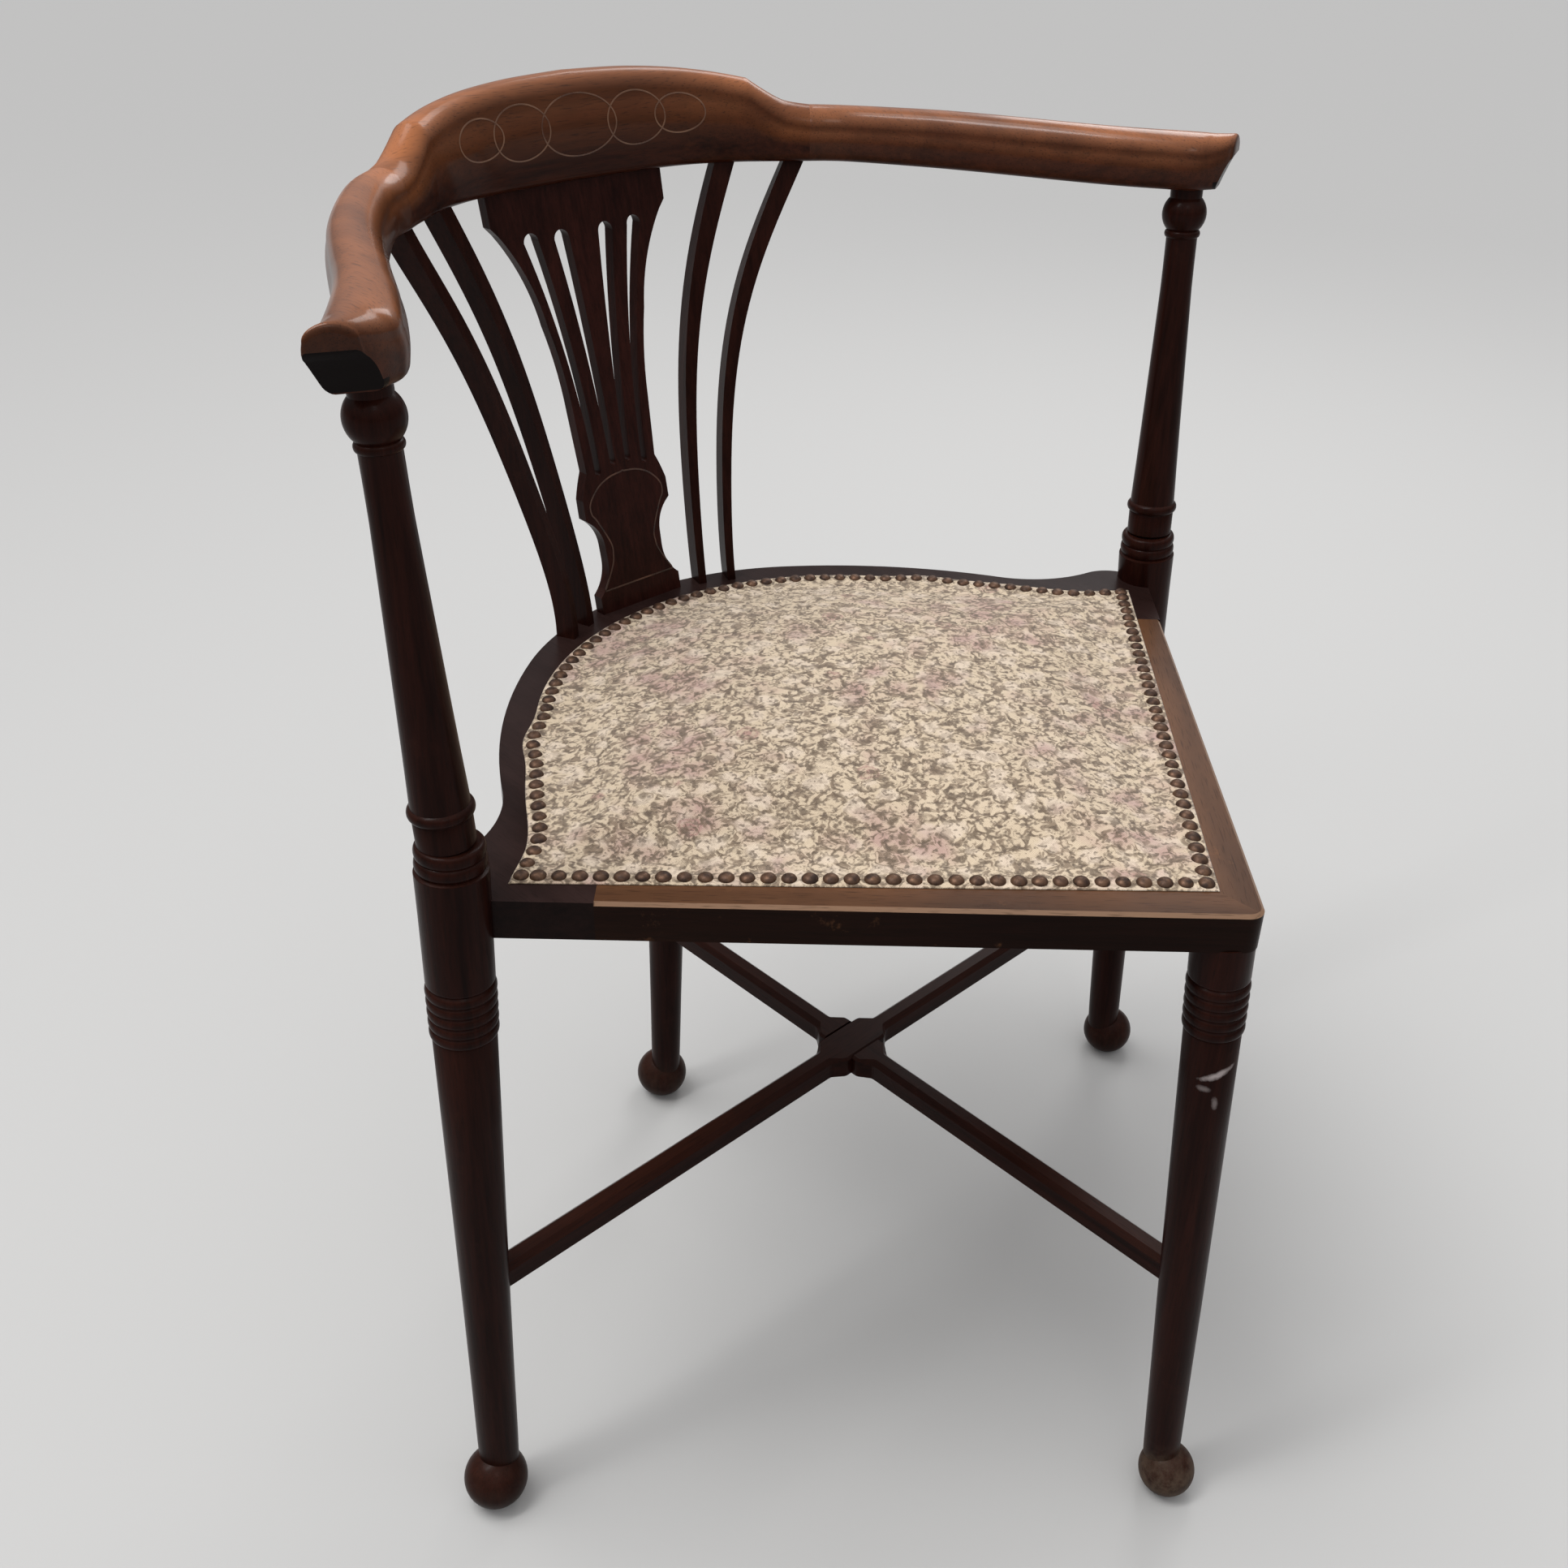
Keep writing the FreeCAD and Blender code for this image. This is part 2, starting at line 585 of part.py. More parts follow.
def arm():
    """Arm: it leaves the crest, narrows, and turns outward into a hand that is hollow under its nose."""
    low = CREST_BOTTOM
    way = HAND_END
    outward = Vector(-way.y, way.x, 0)

    def on_hand(distance, inner, outer, top, crown):
        """Section parallel to the end of the hand, from its inner to its outer side."""
        point = POST_HEAD + way * distance + outward * ((inner + outer) / 2)
        return (point.x, point.y, way.x, way.y, outer - inner, HAND_BOTTOM, top, crown, 1.0)

    body = moulded(eased([
        ARM_JOINT,
        (174.0, 195.5, 0.74, -0.67, 30.0, low - 0.4, 720.0, 13.0, 1.0),
        (211.5, 143.0, 0.48, -0.88, 30.0, low - 1.8, 719.4, 13.0, 1.0),
        (244.3, 81.4, 0.47, -0.88, 30.0, low - 3.2, 717.8, 13.0, 1.0),
        (263.0, 47.5, 0.47, -0.88, 33.0, HAND_BOTTOM, 717.0, 12.5, 1.0),
        on_hand(0, -18.5, 18.5, 716.4, 12.0),
        on_hand(11, -13.0, 21.5, 715.6, 11.5),
        on_hand(20, -4.0, 24.5, 714.0, 10.5),
        on_hand(HAND_LENGTH, 4.5, 26.5, 711.5, 8.0),
    ]))

    def at(spot):
        return POST_HEAD + way * spot[0] + UP * spot[1] - outward * 60

    lip = at(COVE_LIP)
    heel = at(COVE_FOOT)
    below = heel - UP * 10
    beyond = below + way * 40
    above = Vector(beyond.x, beyond.y, lip.z)
    profile = Part.Wire([
        Part.Arc(lip, at(COVE_MIDDLE), heel).toShape(),
        Part.LineSegment(heel, below).toShape(),
        Part.LineSegment(below, beyond).toShape(),
        Part.LineSegment(beyond, above).toShape(),
        Part.LineSegment(above, lip).toShape(),
    ])
    return body.cut(Part.Face(profile).extrude(outward * 120))


def stretcher_bar(start, end, halve_top):
    """One bar of the cross stretcher before its ends are fitted, with the block where the bars cross and
    half of the block cut away."""
    way = (end - start).normalize()
    side = Vector(-way.y, way.x, 0)
    low = STRETCHER_HEIGHT - STRETCHER_DEEP / 2
    high = STRETCHER_HEIGHT + STRETCHER_DEEP / 2

    def prism(half_width, first, length, chamfer):
        outline = [
            (-half_width, low), (half_width, low), (half_width, high - chamfer),
            (half_width - chamfer, high), (chamfer - half_width, high), (-half_width, high - chamfer),
        ]
        points = [first + side * across + UP * (height - first.z) for across, height in outline]
        return Part.Face(Part.makePolygon(points + [points[0]])).extrude(way * length)

    centre = Vector(0, STRETCHER_Y, STRETCHER_HEIGHT)
    bar = prism(STRETCHER_WIDTH / 2, start, (end - start).Length, STRETCHER_CHAMFER)
    block = prism(CROSS_HALF_WIDTH, centre - way * CROSS_HALF_LENGTH, 2 * CROSS_HALF_LENGTH, 1.5)
    notch_bottom = STRETCHER_HEIGHT if halve_top else low - 1
    notch = Part.makeBox(2 * CROSS_HALF_WIDTH, 2 * CROSS_HALF_WIDTH, STRETCHER_DEEP / 2 + 1,
                         Vector(-CROSS_HALF_WIDTH, STRETCHER_Y - CROSS_HALF_WIDTH, notch_bottom))
    return bar.fuse(block).cut(notch)


def on_axis(axis_point, splay, height):
    """Point of a leg's axis at a height."""
    point = axis_point + splay * ((SPLAY_HEIGHT - height) / SPLAY_HEIGHT)
    point.z = height
    return point


def nails():
    """Row of domed nails round the cover, evenly spaced between its corners, each a low faceted dome."""
    spots = []
    for edge in seat_outline(0, SEAT_TOP + COVER_THICK):
        count = round(edge.Length / NAIL_PITCH)
        spots.extend(edge.discretize(Number=count + 1)[:-1])
    heads = []
    for spot in spots:
        rings = []
        for radius, height in ((NAIL_HEAD_RADIUS, 0), (NAIL_HEAD_TOP_RADIUS, NAIL_HEAD_HEIGHT)):
            rings.append([spot + point for point in ring_of(radius, height, NAIL_SIDES)])
        heads.append(flat_faced(rings))
    return Part.makeCompound(heads)


def webbing():
    """Webbing straps strained both ways over the opening and tacked down on the ledge of the rebate."""
    bottom = SEAT_TOP - REBATE_DEPTH
    reach = 3 * WEBBING_PITCH
    straps = []
    for number in (-2, -1, 0, 1, 2):
        offset = number * WEBBING_PITCH - WEBBING_WIDTH / 2
        lengthwise = Vector(offset, -reach, bottom)
        crosswise = Vector(-reach, offset - 20, bottom)
        straps.append(Part.makeBox(WEBBING_WIDTH, 2 * reach, WEBBING_THICK, lengthwise))
        straps.append(Part.makeBox(2 * reach, WEBBING_WIDTH, WEBBING_THICK, crosswise))
    net = straps[0].fuse(straps[1:]).removeSplitter()
    return net.common(seat_prism(REBATE_INSET + 0.5, bottom - 1, bottom + 5))


def main():
    """Makes every piece, cuts each joint and writes one file for each node."""
    right_leg = side_leg()
    right_post = arm_post()
    front_leg = end_leg(FRONT_LEG_AXIS, FRONT_LEG_SPLAY, FRONT_FOOT_RADIUS)
    back_leg = end_leg(BACK_LEG_AXIS, BACK_LEG_SPLAY, FOOT_RADIUS)
    left_leg = mirrored(right_leg)

    side_end = on_axis(SIDE_LEG_AXIS, SIDE_LEG_SPLAY, STRETCHER_HEIGHT)
    front_end = on_axis(FRONT_LEG_AXIS, FRONT_LEG_SPLAY, STRETCHER_HEIGHT)
    back_end = on_axis(BACK_LEG_AXIS, BACK_LEG_SPLAY, STRETCHER_HEIGHT)
    side_end.y = STRETCHER_Y
    far_side_end = Vector(-side_end.x, side_end.y, side_end.z)
    cross_bar = stretcher_bar(far_side_end, side_end, True).cut([right_leg, left_leg])
    long_bar = stretcher_bar(front_end, back_end, False).cut([front_leg, back_leg])

    def stretcher_tenon(end, inward, leg_radius):
        face = end + inward * leg_radius
        return rod(STRETCHER_TENON_RADIUS, face - inward * STRETCHER_TENON_LENGTH, face + inward * 2)

    right_tenon = stretcher_tenon(side_end, Vector(-1, 0, 0), 13.6)
    front_tenon = stretcher_tenon(front_end, Vector(0, 1, 0), 12.8)
    back_tenon = stretcher_tenon(back_end, Vector(0, -1, 0), 12.8)
    cross_bar = cross_bar.fuse([right_tenon, mirrored(right_tenon)])
    long_bar = long_bar.fuse([front_tenon, back_tenon])

    outer = outer_spindle()
    inner = inner_spindle()
    board = splat()
    crest_body = crest()
    right_arm = arm()

    zone, joint, along, inward = front_zone()
    dowel_height = (RAIL_BOTTOM + SEAT_TOP - REBATE_DEPTH) / 2
    reach = FRAME_DOWEL_REACH

    def dowel(centre, way):
        centre = Vector(centre.x, centre.y, dowel_height)
        return peg(FRAME_DOWEL_RADIUS, centre - way * reach, centre + way * reach)

    butt_dowels = [dowel(joint + inward * distance, along) for distance in (12, 28)]
    corner_dowel = dowel(Vector(SIDE_LEG_AXIS.x - 17.9, SIDE_LEG_AXIS.y, 0), Vector(1, 0, 0))
    across = Vector(1, 0, 0)
    front_mitre = dowel(Vector(0, FRONT_CORNER_Y + 50, 0), across)
    back_middle = dowel(Vector(0, BACK_LEG_AXIS.y - 11, 0), across)
    right_dowels = butt_dowels + [corner_dowel]
    frame_dowels = right_dowels + [mirrored(d) for d in right_dowels] + [front_mitre, back_middle]

    arm_way = Vector(ARM_JOINT[2], ARM_JOINT[3], 0).normalize()
    arm_middle = Vector(ARM_JOINT[0], ARM_JOINT[1], 0)
    arm_dowels = []
    for height in (CREST_BOTTOM + 8, CREST_BOTTOM + 21):
        spot = arm_middle + UP * height
        half_dowel = arm_way * ARM_DOWEL_REACH
        arm_dowels.append(peg(ARM_DOWEL_RADIUS, spot - half_dowel, spot + half_dowel))

    standing = [board, outer, inner, mirrored(outer), mirrored(inner)]
    right_half = seat_frame().common(Part.makeBox(450, 900, 100, Vector(0, -450, RAIL_BOTTOM - 20)))
    front_rail = relieved(bevelled(right_half.common(zone)), [front_leg, front_mitre] + butt_dowels)
    in_back_rail = [right_leg, back_leg, board, outer, inner, corner_dowel, back_middle]
    back_rail = relieved(right_half.cut(zone), in_back_rail + butt_dowels)

    crest_body = relieved(crest_body, standing + arm_dowels + [mirrored(d) for d in arm_dowels])
    right_arm = relieved(right_arm, [right_post] + arm_dowels)
    right_leg = relieved(right_leg, [right_post, cross_bar, corner_dowel])
    front_leg = front_leg.cut(long_bar)
    back_leg = back_leg.cut(long_bar)

    hessian_bottom = SEAT_TOP - REBATE_DEPTH + WEBBING_THICK
    hessian_top = hessian_bottom + HESSIAN_THICK
    hessian = seat_prism(REBATE_INSET + 0.5, hessian_bottom, hessian_top)
    stuffing = crowned(REBATE_INSET + 0.5, hessian_top, SEAT_TOP, COVER_THICK)
    cover = crowned(-COVER_EDGE_OUTSET, SEAT_TOP, SEAT_TOP + COVER_THICK, 0).cut(stuffing)

    pieces = {
        "leg_front": front_leg,
        "leg_back": back_leg,
        "crest_rail": crest_body,
        "splat": board,
        "stretcher_side": cross_bar,
        "stretcher_front_back": long_bar,
        "webbing": webbing(),
        "hessian": hessian,
        "seat_stuffing": stuffing,
        "seat_cover": cover,
        "upholstery_nails": nails(),
        "frame_dowels": Part.makeCompound(frame_dowels),
        "arm_dowels": Part.makeCompound(arm_dowels + [mirrored(d) for d in arm_dowels]),
    }
    paired = {
        "leg": right_leg,
        "post": right_post,
        "arm": right_arm,
        "rail_front": front_rail,
        "rail_back": back_rail,
    }
    for name, shape in paired.items():
        pieces[name + "_right"] = shape
        pieces[name + "_left"] = mirrored(shape)
    for name, shape in (("outer", outer), ("inner", inner)):
        pieces["spindle_right_" + name] = shape
        pieces["spindle_left_" + name] = mirrored(shape)

    os.makedirs("parts", exist_ok=True)
    for name, shape in sorted(pieces.items()):
        shape = shape.copy()
        shape.translate(ORIGIN_SHIFT)
        print(f"{name}: {len(shape.Solids)} solids, {shape.Volume / 1000:.1f} cm3, valid {shape.isValid()}")
        shape.exportStep(f"parts/{name}.step")


main()
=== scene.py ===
"""Looks of the corner chair: turned legs and posts, moulded crest and arms, inlay, padded seat and nails.

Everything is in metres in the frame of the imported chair: X to the right as seen from the front, Y to the back,
Z up. Numbers written in millimetres are the chair's own sizes, set out from a point on the floor 3 mm behind the
crossing of the stretcher bars. That point lies SHIFT behind the frame's origin.
"""

import math

import bpy
from mathutils import Matrix, Vector
from mathutils.bvhtree import BVHTree


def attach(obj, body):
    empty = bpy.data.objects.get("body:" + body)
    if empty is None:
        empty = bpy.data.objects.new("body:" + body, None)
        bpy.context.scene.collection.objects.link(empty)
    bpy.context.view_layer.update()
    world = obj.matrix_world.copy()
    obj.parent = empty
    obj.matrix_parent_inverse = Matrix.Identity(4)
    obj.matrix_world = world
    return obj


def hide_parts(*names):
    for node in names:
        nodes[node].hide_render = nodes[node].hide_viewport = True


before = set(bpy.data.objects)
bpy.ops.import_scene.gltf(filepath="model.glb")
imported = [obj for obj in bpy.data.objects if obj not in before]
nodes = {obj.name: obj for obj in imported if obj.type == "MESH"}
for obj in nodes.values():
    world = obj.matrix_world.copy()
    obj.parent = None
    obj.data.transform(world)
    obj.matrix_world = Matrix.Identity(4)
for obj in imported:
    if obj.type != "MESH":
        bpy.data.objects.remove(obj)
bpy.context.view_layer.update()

# ---------------------------------------------------------------- turned legs
# Four legs of mahogany, each turned in one piece with its five reeds. Its pad foot is turned on a second centre, set
# outward. The side legs end in a double ring under the arm post, the front and back leg in a tenon under the frame.
MM = 0.001
SHIFT = 12.33
AXIS_LEVEL = 446.0  # height at which the axis of a leg or a post is given, just above the seat frame
TURNS = 72
REEDS, FIRST_REED, REED_PITCH = 5, 351.0, 6.3
FOOT_LIFT = 0.93  # height of the foot's centre in its radii: the ball is cut flat under it
FOOT_OUT = 4.9


class Shading:
    """Short words for the nodes of one tree. A value may be a number, a colour or the socket it comes from."""

    def __init__(self, tree):
        self.tree = tree

    def give(self, socket, value):
        """Sets the value of a socket, or links it."""
        if isinstance(value, bpy.types.NodeSocket):
            self.tree.links.new(value, socket)
        else:
            socket.default_value = value

    def node(self, kind, **settings):
        """New node. Names of sockets give them a value, other names set a property."""
        node = self.tree.nodes.new(kind)
        for key, value in settings.items():
            socket = node.inputs.get(key.replace("_", " "))
            if socket is None:
                setattr(node, key, value)
            else:
                self.give(socket, value)
        return node

    def math(self, operation, *values):
        """Result of a math node over one to three values."""
        node = self.node("ShaderNodeMath", operation=operation)
        for socket, value in zip(node.inputs, values):
            self.give(socket, value)
        return node.outputs[0]

    def times(self, first, second):
        """Product of two values."""
        return self.math("MULTIPLY", first, second)

    def scaled(self, value, factor, start):
        """The value times a factor, counted from a start."""
        return self.math("MULTIPLY_ADD", value, factor, start)

    def blend(self, share, first, second):
        """Colour between first and second."""
        node = self.node("ShaderNodeMix", data_type="RGBA")
        for number, value in ((0, share), (6, first), (7, second)):
            self.give(node.inputs[number], value)
        return node.outputs[2]

    def ramp(self, value, low, high):
        """0 below low, 1 above high."""
        return self.node("ShaderNodeMapRange", Value=value, From_Min=low, From_Max=high).outputs["Result"]

    def place(self, kind="Object"):
        """Coordinates on the object, or another kind of coordinates."""
        return self.node("ShaderNodeTexCoord").outputs[kind]

    def height(self, vector):
        """Z of a vector."""
        return self.node("ShaderNodeSeparateXYZ", Vector=vector).outputs["Z"]

    def noise(self, vector, scale, detail=4.0, roughness=0.55, distortion=0.0):
        """Noise value from 0 to 1."""
        return self.node("ShaderNodeTexNoise", Vector=vector, Scale=scale, Detail=detail, Roughness=roughness,
                         Distortion=distortion).outputs["Fac"]

    def bump(self, strength, distance, height):
        """Normal over a relief."""
        return self.node("ShaderNodeBump", Strength=strength, Distance=distance, Height=height).outputs["Normal"]

    def principled(self):
        """Sockets of the material's shader."""
        return self.tree.nodes["Principled BSDF"].inputs

    def shade(self, **settings):
        """Gives sockets of the material's shader their values."""
        for key, value in settings.items():
            self.give(self.principled()[key.replace("_", " ")], value)


def new_finish(name):
    """New material and the words for its tree."""
    material = bpy.data.materials.new(name)
    material.use_nodes = True
    return material, Shading(material.node_tree)


def new_sockets(group, way, **kinds):
    """Gives a node group its named inputs or outputs, and returns them by name."""
    return {label: group.interface.new_socket(label, in_out=way, socket_type="NodeSocket" + kind)
            for label, kind in kinds.items()}


# Mahogany: long figure along the grain, short dark pores and bare rubbed patches. Its top is lighter, partly faded
# and partly painted top light, and its rolled edges carry a painted highlight with some bare wear.
wood_group = bpy.data.node_groups.new("aged_mahogany", "ShaderNodeTree")
new_sockets(wood_group, "INPUT", Grain="Vector", Dark="Color", Light="Color", Faded="Color", Fade="Float",
            Wear="Float", Low="Float", High="Float", Rise="Float", Edge="Float")
new_sockets(wood_group, "OUTPUT", Colour="Color", Roughness="Float", Normal="Vector", Polish="Float")
wood = Shading(wood_group)
given = wood.node("NodeGroupInput").outputs
grain, place = given["Grain"], wood.place()
FIGURE_ALONG, FIGURE_ACROSS = 5.5, 95.0
EDGE_HIGHLIGHT_AND_WEAR, OPEN_PORE = (0.36, 0.22, 0.14, 1), (0.006, 0.003, 0.002, 1)
BARE_SCRATCH, FLOOR_DUST = (0.36, 0.31, 0.30, 1), (0.105, 0.072, 0.050, 1)
streak = wood.noise(grain, 4.5, 3.0, 0.5)
cloud = wood.noise(place, 7.0, 3.0)
pores = wood.ramp(wood.noise(grain, 14.0, 2.0, 0.5), 0.56, 0.7)
figure = wood.ramp(wood.scaled(streak, 0.45, wood.times(wood.noise(grain, 1.0, 5.0, 0.6, 0.6), 0.75)), 0.38, 0.85)
colour = wood.blend(figure, given["Dark"], given["Light"])
facing = wood.height(wood.place("Normal"))
level = wood.ramp(wood.height(place), given["Low"], given["High"])
# Lighter colour on faces that look up and with height: partly real fading, partly painted top light.
faded_and_lit = wood.times(wood.ramp(facing, -0.05, 0.85), given["Fade"])
faded_and_lit = wood.math("MAXIMUM", faded_and_lit, wood.times(level, given["Rise"]))
faded_and_lit = wood.times(faded_and_lit, wood.ramp(cloud, 0.05, 0.58))
bands = wood.ramp(wood.noise(grain, 0.32, 3.0, 0.55, 0.4), 0.34, 0.60)
faded_and_lit = wood.times(faded_and_lit, wood.scaled(bands, 0.5, 0.5))
colour = wood.blend(faded_and_lit, colour, given["Faded"])
# Painted highlight, with some bare wear, on faces that roll over at an edge.
edge = wood.times(wood.ramp(facing, 0.30, 0.55), wood.ramp(facing, 0.97, 0.85))
colour = wood.blend(wood.times(edge, given["Edge"]), colour, EDGE_HIGHLIGHT_AND_WEAR)
colour = wood.blend(wood.times(pores, 0.45), colour, OPEN_PORE)
rubbed = wood.times(wood.ramp(wood.noise(place, 34.0, 6.0, 0.7), 0.6, 0.78), given["Wear"])
colour = wood.blend(rubbed, colour, given["Faded"])
wood.node("NodeGroupOutput", Colour=colour, Roughness=wood.scaled(rubbed, 0.25, wood.scaled(cloud, 0.22, 0.2)),
          Normal=wood.bump(0.12, 0.0006, wood.scaled(pores, -0.5, streak)), Polish=wood.scaled(level, 0.85, 0.15))


def mahogany(name, along, dark, light, faded_and_lit, fade, wear, coat, turn=0.0, rise=(0.0, 1.0, 0.0), gloss=0.22,
             edge=0.0):
    """Mahogany whose grain runs along X, Y or Z, turned by an angle about Z. Fade is the share of the lighter colour
    on faces that look up, the rise (from height, to height, share) the same with height: both are partly real fading
    and partly painted top light. Edge is the share of a painted highlight, with some bare wear, where a face rolls
    over."""
    material, tree = new_finish(name)
    scale = [FIGURE_ACROSS] * 3
    scale["XYZ".index(along)] = FIGURE_ALONG
    turned = tree.node("ShaderNodeMapping", Vector=tree.place(), Rotation=(0, 0, -turn))
    grain = tree.node("ShaderNodeMapping", Vector=turned.outputs[0], Scale=scale)
    group = tree.node("ShaderNodeGroup", node_tree=wood_group, Grain=grain.outputs[0], Dark=dark + (1,),
                      Light=light + (1,), Faded=faded_and_lit + (1,), Fade=fade, Wear=wear, Low=rise[0], High=rise[1],
                      Rise=rise[2], Edge=edge).outputs
    tree.shade(Base_Color=group["Colour"], Roughness=group["Roughness"], Normal=group["Normal"],
               Coat_Weight=tree.times(group["Polish"], coat) if coat > 0.2 else coat, Coat_Roughness=0.14,
               Specular_IOR_Level=gloss)
    return material


NEAR_BLACK = ((0.0060, 0.0017, 0.0013), (0.0260, 0.0068, 0.0044), (0.052, 0.017, 0.010))
upright_wood = mahogany("mahogany_upright", "Z", *NEAR_BLACK, 0.3, 0.25, 0.04, gloss=0.04)


def in_scene(name, data):
    """New object over its data, linked into the scene."""
    piece = bpy.data.objects.new(name, data)
    bpy.context.scene.collection.objects.link(piece)
    return piece


def smoothed(mesh, angle=180):
    """Shades a mesh smooth, with sharp edges where it turns by more than an angle."""
    mesh.polygons.foreach_set("use_smooth", [True] * len(mesh.polygons))
    if angle < 180:
        mesh.set_sharp_from_angle(angle=math.radians(angle))


def made(name, vertices, faces, material, smooth_angle=None):
    """New piece from points and faces, smooth up to an angle where one is given."""
    mesh = bpy.data.meshes.new(name)
    mesh.from_pydata([tuple(v) for v in vertices], [], faces)
    mesh.materials.append(material)
    if smooth_angle is not None:
        smoothed(mesh, smooth_angle)
    mesh.update()
    piece = in_scene(name, mesh)
    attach(piece, "root")
    return piece


def wall(rows, count, first=0):
    """Faces between closed rows of points, from a first point on."""
    faces = []
    for row in range(rows - 1):
        low, high = first + row * count, first + (row + 1) * count
        for number in range(count):
            following = (number + 1) % count
            faces.append((low + number, low + following, high + following, high + number))
    return faces


def lathed(vertices, faces, outline, base, direction):
    """Adds a turned surface. The outline is (height along the axis, radius) in millimetres."""
    turn = direction.to_track_quat("Z", "Y").to_matrix()
    first = len(vertices)
    for height, radius in outline:
        for number in range(TURNS):
            angle = 2 * math.pi * number / TURNS
            point = turn @ Vector((radius * math.cos(angle), radius * math.sin(angle), height))
            vertices.append((base + point) * MM)
    faces += wall(len(outline), TURNS, first)
    last = first + (len(outline) - 1) * TURNS
    faces.append([first + number for number in reversed(range(TURNS))])
    faces.append([last + number for number in range(TURNS)])


def bead(low, high, radius, proud, steps=9):
    """Rounded ring between two heights."""
    points = []
    for number in range(1, steps):
        angle = math.pi * number / steps
        points.append(((low + high) / 2 - (high - low) / 2 * math.cos(angle), radius + proud * math.sin(angle)))
    return points


def eased_edge(height, radius, way):
    """Small round where a turned step ends, instead of a knife edge."""
    return [(height - 0.5 * way, radius), (height - 0.15 * way, radius - 0.12), (height, radius - 0.5)]


def scuffed(name, marks, foot_dust):
    """The wood of the uprights with rubbed marks, each (start, end, half width, strength), and a dusty foot."""
    material = upright_wood.copy()
    material.name = name
    tree = Shading(material.node_tree)
    colour, rough = [tree.principled()[label].links[0].from_socket for label in ("Base Color", "Roughness")]
    place = tree.place()
    grit = tree.noise(place, 120.0, 5.0, 0.65)
    drag = tree.noise(place, 260.0, 3.0, 0.6)
    for start, stop, reach, strength in marks:
        start, stop = Vector(start), Vector(stop)
        turned = tree.node("ShaderNodeMapping", vector_type="TEXTURE", Vector=place, Location=(start + stop) / 2,
                           Rotation=(stop - start).to_track_quat("X", "Z").to_euler(),
                           Scale=((stop - start).length / 2 + reach, 4 * reach, reach))
        away = tree.node("ShaderNodeVectorMath", operation="LENGTH", Vector=turned.outputs[0]).outputs["Value"]
        ragged = tree.scaled(drag, -0.9, tree.math("ADD", away, 0.45))
        mark = tree.times(tree.ramp(ragged, 1.0, 0.35), strength)
        colour = tree.blend(mark, colour, BARE_SCRATCH)
        rough = tree.scaled(mark, 0.4, rough)
    dust = tree.times(tree.ramp(tree.height(place), 0.045, 0.020), foot_dust)
    dust = tree.times(dust, tree.ramp(grit, 0.30, 0.60))
    tree.shade(Base_Color=tree.blend(dust, colour, FLOOR_DUST), Roughness=tree.scaled(dust, 0.35, rough))
    return material


def turned_leg(name, axis_point, splay, ankle, knee, low_radius, high_radius, top, foot_radius, wood):
    """A turned leg: pad foot set outward, long taper, reeds, and what the leg has above them. The radii of ankle,
    knee and reeds are in millimetres, the splay is how far the leg leans out at the floor."""
    floor = axis_point + splay - Vector((0, 0, AXIS_LEVEL))
    direction = axis_point - floor
    stretch = direction.length / AXIS_LEVEL
    outline = [(26.0, ankle - 0.3), (46.0, ankle + 0.1), (100.0, ankle + (knee - ankle) * 0.45), (160.0, knee),
               (225.0, knee + (low_radius - knee) * 0.32), (290.0, knee + (low_radius - knee) * 0.67),
               (350.2, low_radius - 0.1), (350.9, low_radius - 0.5)]
    for number in range(REEDS):
        start = FIRST_REED + REED_PITCH * number
        radius = low_radius + (high_radius - low_radius) * (number + 0.5) / REEDS
        outline += bead(start + 0.25, start + 6.05, radius - 0.35, 1.45)
    outline += [(382.7, high_radius - 0.5), (384.2, top[0][1] - 0.1)] + top
    vertices, faces = [], []
    lathed(vertices, faces, [(height * stretch, radius) for height, radius in outline], floor, direction)
    lift = foot_radius * FOOT_LIFT
    centre = floor + direction * (lift / AXIS_LEVEL) + splay.normalized() * FOOT_OUT
    ball = []
    for number in range(25):
        angle = -math.asin(FOOT_LIFT) + (math.pi / 2 + math.asin(FOOT_LIFT)) * number / 24
        ball.append((lift + foot_radius * math.sin(angle), max(0.5, foot_radius * math.cos(angle))))
    ball[0] = (0.6, ball[0][1] + 1.1)
    ball.insert(0, (0.0, ball[0][1] - 1.0))
    lathed(vertices, faces, ball, Vector((centre.x, centre.y, 0)), Vector((0, 0, 1)))
    vertices = [(v[0], v[1] + SHIFT * MM, v[2]) for v in vertices]
    piece = made(name + "_turned", vertices, faces, wood, smooth_angle=42)
    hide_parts(name)


SIDES = (("right", 1), ("left", -1))
ring_top = [(385.0, 17.5), (425.0, 17.9), (448.0, 18.3)] + eased_edge(448.6, 18.3, 1)
ring_top += [(449.3, 16.5)] + bead(449.4, 456.2, 16.2, 1.5) + [(456.3, 16.3)] + bead(456.4, 463.0, 16.0, 1.4)
ring_top += [(463.3, 15.6), (463.4, 14.0)]
plain_top = [(385.0, 15.8), (407.6, 16.1)]
side_axis, side_splay = Vector((280.0, 2.7, AXIS_LEVEL)), Vector((20.9, -9.3, 0))
for side, sign in SIDES:
    axis = Vector((side_axis.x * sign, side_axis.y, side_axis.z))
    splay = Vector((side_splay.x * sign, side_splay.y, 0))
    marks = [((-0.278, -0.015, 0.438), (-0.272, -0.012, 0.431), 0.0012, 0.45)] if sign < 0 else []
    wood = scuffed("mahogany_leg_" + side, marks, 0.08)
    turned_leg("leg_" + side, axis, splay, 12.0, 13.4, 16.6, 17.0, ring_top, 19.05, wood)
